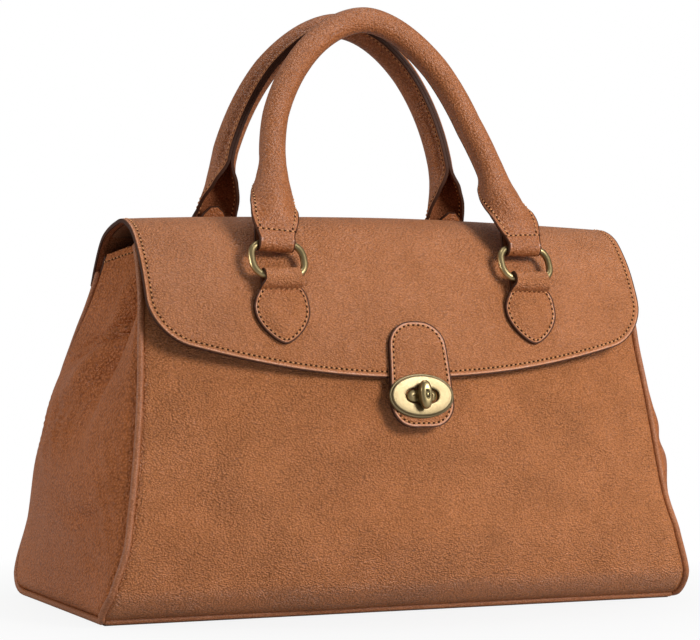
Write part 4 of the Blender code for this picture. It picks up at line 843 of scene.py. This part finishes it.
# Turn lock: an oval plate of antique brass riveted to the tab round a slot, two domes of the post showing
# in the slot, and a thick oval knob standing across it. The plate has a step round its rim. Each loop is
# given by how far out it lies and by its two half sizes, in millimetres, and by the power of its shape.
MM = 0.001
LOCK_PLACE = np.array((0, -0.09937, 0.1207))
LOCK_OUT = np.array((0, -0.98296, 0.18382))
LOCK_UP = np.array((0, 0.18382, 0.98296))
PLATE_LOOPS = ((2.7, 9.9, 4.5, 2.5), (2.62, 19.0, 11.9, 2.05), (2.72, 19.5, 12.3, 2.05),
               (3.3, 19.6, 12.4, 2.05), (3.85, 19.55, 12.35, 2.05), (4.05, 19.3, 12.1, 2.05),
               (4.12, 18.9, 11.75, 2.05), (4.16, 18.55, 11.4, 2.05), (4.4, 18.42, 11.28, 2.05),
               (4.78, 18.3, 11.15, 2.05), (4.98, 17.95, 10.85, 2.05), (5.06, 17.3, 10.3, 2.05),
               (5.1, 14.0, 8.0, 2.15), (5.12, 11.4, 5.9, 2.4), (5.08, 10.5, 5.05, 2.5),
               (4.95, 10.1, 4.65, 2.5), (4.6, 9.95, 4.52, 2.5), (3.6, 9.9, 4.5, 2.5))
SLOT_FLOOR_LOOPS = ((2.6, 9.0, 3.7, 2.6), (4.1, 9.0, 3.7, 2.6))
NECK_LOOPS = ((3.2, 2.3, 2.3, 2), (4.6, 2.2, 2.2, 2), (5.4, 2.2, 2.2, 2))
DOME_ASIDE = 0.0053


def rounded_wave(angle, power):
    """The sine with fuller shoulders for a higher power."""
    return np.sign(np.sin(angle)) * np.abs(np.sin(angle)) ** (2 / power)


def oval(out, half_x, half_up, power, count=72):
    """A closed outline square to the lock's axis: an oval, with fuller ends for a higher power."""
    angle = np.arange(count)[:, None] * 2 * math.pi / count
    across = rounded_wave(angle + math.pi / 2, power) * np.array((1, 0, 0))
    up = rounded_wave(angle, power) * LOCK_UP
    return LOCK_PLACE + (LOCK_OUT * out + across * half_x + up * half_up) * MM


def lofted(name, loops, finish, body, closed=False):
    """Loops of equal count joined in order; if they aren't closed, a fan ends each side."""
    rings = np.stack(loops)
    count = rings.shape[1]
    points = rings.reshape(-1, 3)
    faces = quads(*rings.shape[:2], closed_rows=closed, closed_columns=True).tolist()
    if not closed:
        points = np.vstack([points, rings[0].mean(0), rings[-1].mean(0)])
        last = (len(rings) - 1) * count
        for k in range(count):
            after = (k + 1) % count
            faces += [[after, k, len(points) - 2], [last + k, last + after, len(points) - 1]]
    return new_piece(name, points, faces, (finish,), body)


plate = lofted("lock_plate_brass", [oval(*loop) for loop in PLATE_LOOPS], plate_brass, "flap", closed=True)
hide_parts("eyelet_plate")
slot_post = lofted("slot_floor_brass", [oval(*loop) for loop in SLOT_FLOOR_LOOPS], worn_brass, "flap")
for sign, word in SIDES:
    loops = [oval(3.6 + 2.0 * math.sin(rise), 3.55 * math.cos(rise), 3.6 * math.cos(rise), 2, 40)
             + (sign * DOME_ASIDE, 0, 0) for rise in np.linspace(0, math.pi / 2, 12)[:-1]]
    lofted("post_dome_" + word, loops, worn_brass, "flap")
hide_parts("lock_post")
knob_loops = [oval(*loop, 48) for loop in NECK_LOOPS]
for angle in np.linspace(-math.pi / 2, math.pi / 2, 25)[1:-1]:
    width = math.cos(angle) ** 0.62
    rise = math.copysign(abs(math.sin(angle)) ** 0.8, math.sin(angle))
    knob_loops.append(oval(8.75 + 3.35 * rise, 3.7 * width, 8.0 * width, 2.25, 48))
knob = lofted("lock_knob_brass", knob_loops, worn_brass, "lock_knob")
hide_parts("lock_knob")
for node in ("eyelet_back_plate", "lock_catch", "lock_washer"):
    refinish(node, worn_brass)

# Leaf tabs: a strap of the flap's leather folded round the ring's lower bar, its back ply hidden, its front
# ply cut to a pointed leaf, stitched across under the ring and all round just inside the edge.
BAR_LIFT = 0.0070
BAR_S = 0.136865
BACK_BAR_LEVEL = 0.173
LEAF_THICKNESS = 0.0021
LEAF_STITCH_S = 0.0050
LEAF_CROSS_S = LEAF_STITCH_S + 0.0006
LEAF_TIP_S = 0.0362
LEAF_STITCH_INSET = 0.0019
LEAF_WIDTH_AT = np.array((0.0, 0.09, 0.17, 0.25, 0.333, 0.41, 0.50, 0.577, 0.66, 0.74, 0.82, 0.90, 0.955,
                          0.985, 1.0))
LEAF_WIDTHS = np.array((23.6, 27.6, 30.2, 31.4, 32.1, 31.9, 30.9, 29.1, 26.4, 23.1, 18.7, 13.3, 8.4, 4.8,
                        1.6)) / 1000
LEAF_TIP_SHARES = (0.92, 0.935, 0.95, 0.962, 0.973, 0.982, 0.99, 0.996, 1.0)
LEAF_EDGE_SHARES = (0.0, 0.03, 0.065, 0.095, 0.125, 0.155, 0.19, 0.25, 0.34)
STRAP_WIDTH = 0.0205
STRAP_FOLD_RADIUS = 0.0042
HIDDEN_S = (0.0125, 0.0105, 0.0085, LEAF_STITCH_S)
HIDDEN_LIFT = 0.0014


def tangent_turn(ahead, aside, radius):
    """Angle on a circle where a line from a point ahead of it touches it."""
    return math.atan2(aside, ahead) + math.acos(radius / math.hypot(ahead, aside))


def leaf_line():
    """Length down from the bar, lift and width: up the hidden ply, round the bar, down the leaf."""
    front = tangent_turn(LEAF_STITCH_S, 0.0035 - BAR_LIFT, STRAP_FOLD_RADIUS)
    back = -tangent_turn(LEAF_STITCH_S, BAR_LIFT - HIDDEN_LIFT, STRAP_FOLD_RADIUS)
    turn = np.linspace(back, front - 2 * math.pi, 28)
    share = np.concatenate([np.arange(15) * 0.022, np.linspace(0.34, 0.90, 26), LEAF_TIP_SHARES])
    blade_s = LEAF_STITCH_S + share * (LEAF_TIP_S - LEAF_STITCH_S)
    blade_lift = 0.0013 + 0.0022 * ease((0.0150 - blade_s) / 0.0085)
    s = np.concatenate([HIDDEN_S, STRAP_FOLD_RADIUS * np.cos(turn), blade_s])
    lift = np.concatenate([np.full(4, HIDDEN_LIFT), BAR_LIFT + STRAP_FOLD_RADIUS * np.sin(turn),
                           blade_lift])
    width = np.concatenate([np.full(26, STRAP_WIDTH), np.linspace(STRAP_WIDTH, LEAF_WIDTHS[0], 6),
                            smooth_curve(LEAF_WIDTH_AT, LEAF_WIDTHS, share)])
    return s, lift, width, len(s) - len(share)


leaf_s, leaf_lift, leaf_width, leaf_neck = leaf_line()
leaf_across = mirrored(clustered(1.0, 5, LEAF_EDGE_SHARES))
blade_edge = spread(leaf_width[leaf_neck:] / 2, leaf_s[leaf_neck:])
on_blade = (np.arange(len(leaf_s)) >= leaf_neck)[:, None]


def back_surface(s, x, lift=0.0):
    """A point of the back panel's face at a length down from the back bar's level."""
    level = np.linspace(BACK_TOP, 0.0045, 400)
    length = running_length(spread(back_middle(RING_SPACING, level), level))
    z = np.interp(np.interp(-BACK_BAR_LEVEL, -level, length) + s, length, level)
    slope = (back_middle(x, z + 0.006) - back_middle(x, z - 0.006)) / 0.012
    out = (PANEL_THICKNESS / 2 + lift + 0.0002) / np.sqrt(1 + slope ** 2)
    return spread(x, back_middle(x, z) + out, z - slope * out)


def leaf_piece(node, surface, start, middle, body, flip):
    """One leaf tab with its stitches, laid on a surface from the bar's place down."""
    flat = spread(leaf_width[:, None] / 2 * leaf_across[::flip], leaf_s[:, None])
    depth = edge_distance(flat, np.vstack([blade_edge, (blade_edge * (-1, 1))[::-1]]))
    cross = hump(flat[..., 1] - LEAF_CROSS_S, 0.0007)
    groove = 0.0003 * np.maximum(hump(depth - LEAF_STITCH_INSET, 0.0007), cross)
    dome = 0.0015 * ease((depth - 0.0022) / 0.007) * ease((flat[..., 1] - LEAF_STITCH_S - 0.001) / 0.004)
    lift = leaf_lift[:, None] + (dome - groove) * on_blade
    made = leather_sheet(node + "_leather", surface(start + flat[..., 1], middle + flat[..., 0], lift),
                         LEAF_THICKNESS, FLAP_FINISHES, body)
    finish_edge(made, np.where(on_blade, depth, RIM_WIDTH), 0.0008)
    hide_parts(node)
    inner = moved_aside(blade_edge, LEAF_STITCH_INSET)
    inner = inner[(inner[:, 0] > 0.0002) & (inner[:, 1] > LEAF_CROSS_S)]
    half = np.vstack([(0.0, LEAF_CROSS_S), (inner[0, 0], LEAF_CROSS_S), inner])
    ring = np.vstack([half, (0.0, LEAF_TIP_S - LEAF_STITCH_INSET * 1.25), (half * (-1, 1))[::-1]])
    x, s = along(ring, np.linspace(0, running_length(ring)[-1], 240)).T
    lift = np.interp(s, leaf_s[leaf_neck:], leaf_lift[leaf_neck:]) + LEAF_THICKNESS / 2 - 0.0001
    stitch_row(node + "_leather_stitches", surface(start + s, middle + x, lift),
               outward(surface, start + s, middle + x, (0, flip, 0)), body)


for side, word in SIDES:
    leaf_piece("front_leaf_" + word, flap_surface, BAR_S, side * RING_SPACING, "flap", -1)
    leaf_piece("back_leaf_" + word, back_surface, 0.0, side * RING_SPACING, "bag", 1)

# Rings: round brass wire bent to an oval with nearly straight bars; the handle hangs on the upper bar.
RING_HALF_WIDTH = 0.01525
RING_HALF_HEIGHT = 0.0110
RING_POWER = 2.7
WIRE_RADIUS = 0.0020
FRONT_BAR = np.array((-0.08556, 0.18656))
BACK_BAR = np.array((0.03438, 0.17930))
FRONT_TOP_BAR = np.array((-0.07571, 0.20623))
BACK_TOP_BAR = np.array((0.03094, 0.20103))
ring_angle = np.arange(96) * 2 * math.pi / 96
wire_turn = np.arange(16)[:, None] * math.pi / 8
for word, low, high in (("front", FRONT_BAR, FRONT_TOP_BAR), ("back", BACK_BAR, BACK_TOP_BAR)):
    way = unit(high - low)
    flat_normal = np.array((0, -way[1], way[0]))
    across = RING_HALF_WIDTH * rounded_wave(ring_angle + math.pi / 2, RING_POWER)
    up = (low + high) / 2 + way * RING_HALF_HEIGHT * rounded_wave(ring_angle, RING_POWER)[:, None]
    for side, hand in SIDES:
        line = spread(side * RING_SPACING + across, *up.T)
        aside = np.cross(unit(np.roll(line, -1, 0) - np.roll(line, 1, 0)), flat_normal)
        circle = aside[:, None] * np.cos(wire_turn) + flat_normal * np.sin(wire_turn)
        wire = line[:, None] + WIRE_RADIUS * circle
        name = word + "_ring_" + hand
        ring = new_piece(name + "_brass", wire, quads(96, 16, closed_rows=True, closed_columns=True),
                         (worn_brass,), name)
        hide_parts(name)

# Handles: one strap of leather each, rolled round a rope. Its two painted edges are pressed together in a
# narrow fin that faces the middle of the bag; low down they part in a Y and the strap opens to a spoon,
# which narrows again, folds round the ring's upper bar and is sewn to its own inner side.
HANDLE_TOP = 0.3415
HANDLE_HALF_WIDTH = 0.072
HANDLE_THICKNESS = 0.0019
HANDLE_STITCH_INSET = 0.0027
ARCH_POWER = 1.8
ROLL_RADIUS = 0.0067
LOOP_RADIUS = 0.0045
CORE_RADIUS = 0.0047
FIN = 0.0036
FIN_TURN = 0.0034
ROLL_ANGLE = math.radians(157)
SPOON_SWELL = 0.00306
STRAP_AT = np.array((0.0, 0.025, 0.047, 0.08, 0.12, 0.16, 0.18, 0.20, 0.226, 0.27, 0.315, 0.36, 0.385, 1.0))
STRAP_WIDTHS = np.array((20.6, 22.4, 24.8, 27.2, 28.4, 30.0, 31.5, 33.2, 36.0, 41.0, 45.0, 48.2, 50.0,
                         50.0)) / 1000
CLOSE_SHARES = np.array((0.02, 0.02, 0.03, 0.06, 0.15, 0.34, 0.44, 0.51, 0.58, 0.71, 0.81, 0.91, 1.0, 1.0))
INNER_PLY_RISE = np.linspace(0.034, 0.014, 12)
INNER_PLY_WIDTHS = np.interp(INNER_PLY_RISE, (0.014, 0.022, 0.030, 0.034), (0.0205, 0.0190, 0.0130, 0.0050))
INNER_PLY_OUT = 0.0015
FRONT_SHIFT = ((0, 0.1, 0.2, 0.35, 0.55, 0.8, 1.0), (0, 0.0008, 0.0022, 0.0028, 0.0022, 0.0036, 0.0044),
               (0, 0, 0, 0, 0, 0.0038, 0.0044))
BACK_SHIFT = ((0, 0.2, 0.45, 0.8, 1.0), (0, -0.0030, -0.0052, -0.0036, -0.0002), (0, 0, 0, 0.0004, -0.0002))
strap_share = np.concatenate([np.linspace(0, 0.78, 15), (0.81, 0.835, 0.855, 0.87, 0.885, 0.90, 0.93, 0.96,
                                                         0.985, 1.0)])


def strap_section(closed, width):
    """Half section of the strap, middle to edge: an arc that turns outward into a fin as it closes.

    The direction along the strap grows evenly to the arc's angle, then turns back to point straight out;
    its steps are summed, and the two edges are kept from crossing.
    """
    reach = width / 2
    rolled = ease((closed - 0.45) / 0.5)
    bend = FIN_TURN * rolled
    arc = reach - FIN * rolled - bend
    far = ROLL_ANGLE * closed
    held = min(far, math.pi / 2)
    dense = np.linspace(0, reach, 400)
    back = np.clip((dense - arc) / max(bend, 1e-6), 0, 1)
    angle = np.where(dense <= arc, far * dense / arc, far + (held - far) * back)
    way = spread(np.cos(angle), np.sin(angle))
    line = np.vstack([(0, 0), np.cumsum((way[1:] + way[:-1]) / 2, axis=0) * dense[1]])
    touch = HANDLE_THICKNESS / 2 + 0.00008
    line[:, 0] += (touch - line[-1, 0]) * ease(dense / reach) ** 2 * ease((closed - 0.75) / 0.2)
    line[:, 0] = np.maximum(line[:, 0], np.minimum(touch, dense))
    return read_at(strap_share * reach, dense, line)


def handle_line(h, bar, top_depth, power, hand, shift):
    """Centre line of one leg at a share of the height over the bar; the arch leans a little to +X."""
    rise = np.clip((h - 0.2) / 0.8, 0, 1)
    arch = HANDLE_HALF_WIDTH * np.clip(1 - rise ** ARCH_POWER, 0, 1) ** (1 / ARCH_POWER)
    foot = (RING_SPACING - HANDLE_HALF_WIDTH) * (1 - ease(h / 0.3))
    x = hand * (arch + foot) + np.interp(h, shift[0], shift[1] if hand < 0 else shift[2])
    y = top_depth + (bar[0] - top_depth) * np.clip(1 - h, 0, 1) ** power
    return spread(x, y, bar[1] + (HANDLE_TOP - bar[1]) * h)


def handle_leg(bar, top_depth, power, inward, hand, shift, slow):
    """Points of one leg's strap, from its inner ply round the bar to the arch's top, and its frames."""
    course = (bar, top_depth, power, hand, shift)
    h = np.concatenate([np.linspace(0, 0.45, 64)[:-1], 0.45 + 0.55 * bunched(44, 0)])
    centre = handle_line(h, *course)
    run = unit(handle_line(np.clip(h + 0.004, 0, 1), *course)
               - handle_line(np.clip(h - 0.004, 0, 1), *course))
    run[-1] = (-hand, 0, 0)
    rise = run * (0, 1, 1)
    rise[-1] = rise[-2]
    rise = unit(rise)
    facing = inward * spread(0.0, rise[:, 2], -rise[:, 1])
    inside = unit(np.cross(run, facing))
    inside *= np.sign(inside @ (-hand, 0, -0.2))[:, None]
    closed = smooth_curve(STRAP_AT, CLOSE_SHARES, h / slow)
    width = smooth_curve(STRAP_AT, STRAP_WIDTHS, h / slow)
    across, out = np.stack([strap_section(*size) for size in zip(closed, width)]).transpose(2, 0, 1)
    across = np.hstack([-across[:, :0:-1], across])
    out = np.hstack([out[:, :0:-1], out])
    swell = SPOON_SWELL * ease((h - 0.035) / 0.07) * ease((0.26 - h) / 0.12)
    side_share = np.abs(across) / (width[:, None] / 2)
    out -= swell[:, None] * np.clip(1 - (side_share / 0.72) ** 2, 0, 1) ** 1.5
    off = LOOP_RADIUS + (ROLL_RADIUS - LOOP_RADIUS) * ease((h - 0.02) / 0.2)
    front = centre - facing * off[:, None]
    strap = front[:, None] + inside[:, None] * across[..., None] + facing[:, None] * out[..., None]
    leave = tangent_turn(0.013, -INNER_PLY_OUT, LOOP_RADIUS)
    turn = np.linspace(leave, 1.5 * math.pi, 26)[:-1]
    up = np.concatenate([INNER_PLY_RISE, LOOP_RADIUS * np.cos(turn)])[:, None]
    ahead = np.concatenate([np.full(12, INNER_PLY_OUT), -LOOP_RADIUS * np.sin(turn)])[:, None]
    fold_middle = centre[0] + unit(centre[2] - centre[0]) * up - facing[0] * ahead
    fold_width = np.concatenate([INNER_PLY_WIDTHS, np.full(25, STRAP_WIDTHS[0])])[:, None]
    fold = fold_middle[:, None] + inside[0] * (fold_width / 2 * mirrored(strap_share))[..., None]
    return np.vstack([fold, strap]), centre, facing


HANDLES = (("front", FRONT_TOP_BAR, -0.016, 1.41, 1, FRONT_SHIFT, 1.0),
           ("back", BACK_TOP_BAR, 0.0135, 5.0, -1, BACK_SHIFT, 1.12))
for word, bar, depth, power, inward, shift, slow in HANDLES:
    body = word + "_handle"
    left, left_centre, left_face = handle_leg(bar, depth, power, inward, -1, shift, slow)
    right, right_centre, right_face = handle_leg(bar, depth, power, inward, 1, shift, slow)
    strap = np.vstack([left, right[-2::-1]])
    lead = len(left) - len(left_centre)
    mid = strap.shape[1] // 2
    row_length = np.stack([running_length(row) for row in strap])
    from_edge = np.minimum(row_length, row_length[:, -1:] - row_length)
    facing_side = np.cross(strap[40, mid + 4] - strap[40, mid - 4], strap[44, mid] - strap[40, mid])
    order = 1 if facing_side @ left_face[20] < 0 else -1
    handle = leather_sheet(body + "_leather", strap[:, ::order], HANDLE_THICKNESS,
                           (handle_leather, flesh_side, edge_paint), body)
    finish_edge(handle, from_edge[:, ::order], 0.0007)
    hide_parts(body)
    core_line = np.vstack([left_centre, right_centre[-2::-1]])[62:-62]
    core = tube_piece(body + "_rope", core_line, CORE_RADIUS, rope, body, sides=16)
    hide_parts(body + "_core")
    for edge in "ab":
        line, normal = [], []
        for k in range(lead + 6, len(strap) - lead - 6):
            at = HANDLE_STITCH_INSET if edge == "a" else row_length[k, -1] - HANDLE_STITCH_INSET
            before, point, after = along(strap[k], at + np.array((-0.0005, 0.0, 0.0005)))
            line.append(point)
            normal.append(unit(np.cross(after - before, strap[k + 1, mid] - strap[k - 1, mid])))
        line, normal = np.array(line), np.array(normal)
        normal *= -1 if normal[2] @ left_face[8] > 0 else 1
        lift = normal * (HANDLE_THICKNESS / 2 + 0.00003)
        stitch_row(body + "_stitches_" + edge, line + lift, normal, body)
        for end, part in (("left", slice(2, 44)), ("right", slice(-44, -2))):
            stitch_row(body + "_inner_" + edge + "_" + end, (line - lift)[part], -normal[part], body)
    for leg, face, hand in ((left, left_face, "left"), (right, right_face, "right")):
        row = leg[lead + 4, 2:-2]
        normal = np.repeat(-face[6:7], 60, 0)
        line = read_at(np.linspace(0, 1, 60), np.linspace(0, 1, len(row)), row)
        stitch_row(body + "_cross_" + hand, line + normal * (HANDLE_THICKNESS / 2 + 0.00003), normal, body)

# Light: a soft lamp above and to the right of the camera, one that grazes the left side, a pale room that
# looks white to the camera.
WHITE = (1, 1, 1, 1)
ROOM_STRENGTH = 0.25
scene.world = bpy.data.worlds.new("room")
scene.world.use_nodes = True
tree = scene.world.node_tree
room = fill(tree, tree.nodes["Background"], Color=WHITE, Strength=ROOM_STRENGTH).outputs["Background"]
white = node_of(tree, "Background", Color=WHITE, Strength=1.0).outputs["Background"]
ray = node_of(tree, "LightPath").outputs
seen = maths(tree, "MAXIMUM", ray["Is Camera Ray"], ray["Is Transmission Ray"])
pick = node_of(tree, "MixShader", seen, room, white)
fill(tree, tree.nodes["World Output"], Surface=pick.outputs["Shader"])


def lamp(name, place, aim, size, power):
    """A round area lamp that shines from its place at the aim."""
    data = bpy.data.lights.new(name, "AREA")
    data.shape = "DISK"
    data.size = size
    data.energy = power
    made = bpy.data.objects.new(name, data)
    made.location = place
    way = unit(np.array(aim) - place)
    made.rotation_euler = (math.acos(-way[2]), 0, math.atan2(way[1], way[0]) - math.pi / 2)
    scene.collection.objects.link(made)


lamp("key_lamp", (0.48, -1.00, 0.62), (0.05, -0.05, 0.15), 0.45, 13)
lamp("side_lamp", (-1.40, 0.25, 0.55), (-0.15, 0, 0.10), 0.35, 7)
lamp("top_lamp", (0.1, 0.2, 1.5), (0, 0, 0.2), 0.8, 5)

# Floor: a white sheet that keeps the bag's soft shadow near it and fades to the white room further out.
FADE_START = 0.14
FADE_END = 0.34
floor_finish, tree, shader, place = new_finish("white_floor")
fill(tree, shader, Base_Color=(0.5, 0.5, 0.5, 1), Roughness=0.9)
light = node_of(tree, "Emission", Color=WHITE, Strength=1.0).outputs["Emission"]
reach = node_of(tree, "VectorMath", place, operation="LENGTH").outputs["Value"]
share = maths(tree, "MULTIPLY", node_of(tree, "LightPath").outputs["Is Camera Ray"],
              ranged(tree, reach, FADE_START, FADE_END, 0.86, 1.0))
mix = node_of(tree, "MixShader", share, shader.outputs["BSDF"], light)
fill(tree, tree.nodes["Material Output"], Surface=mix.outputs["Shader"])
floor_mesh = bpy.data.meshes.new("floor")
floor_mesh.from_pydata([(-4, -4, 0), (4, -4, 0), (4, 4, 0), (-4, 4, 0)], [], [(0, 1, 2, 3)])
floor_mesh.materials.append(floor_finish)
floor = bpy.data.objects.new("floor", floor_mesh)
floor.location = (0, 0, -0.0002)
scene.collection.objects.link(floor)

scene.view_settings.view_transform = "Standard"
bpy.context.view_layer.update()
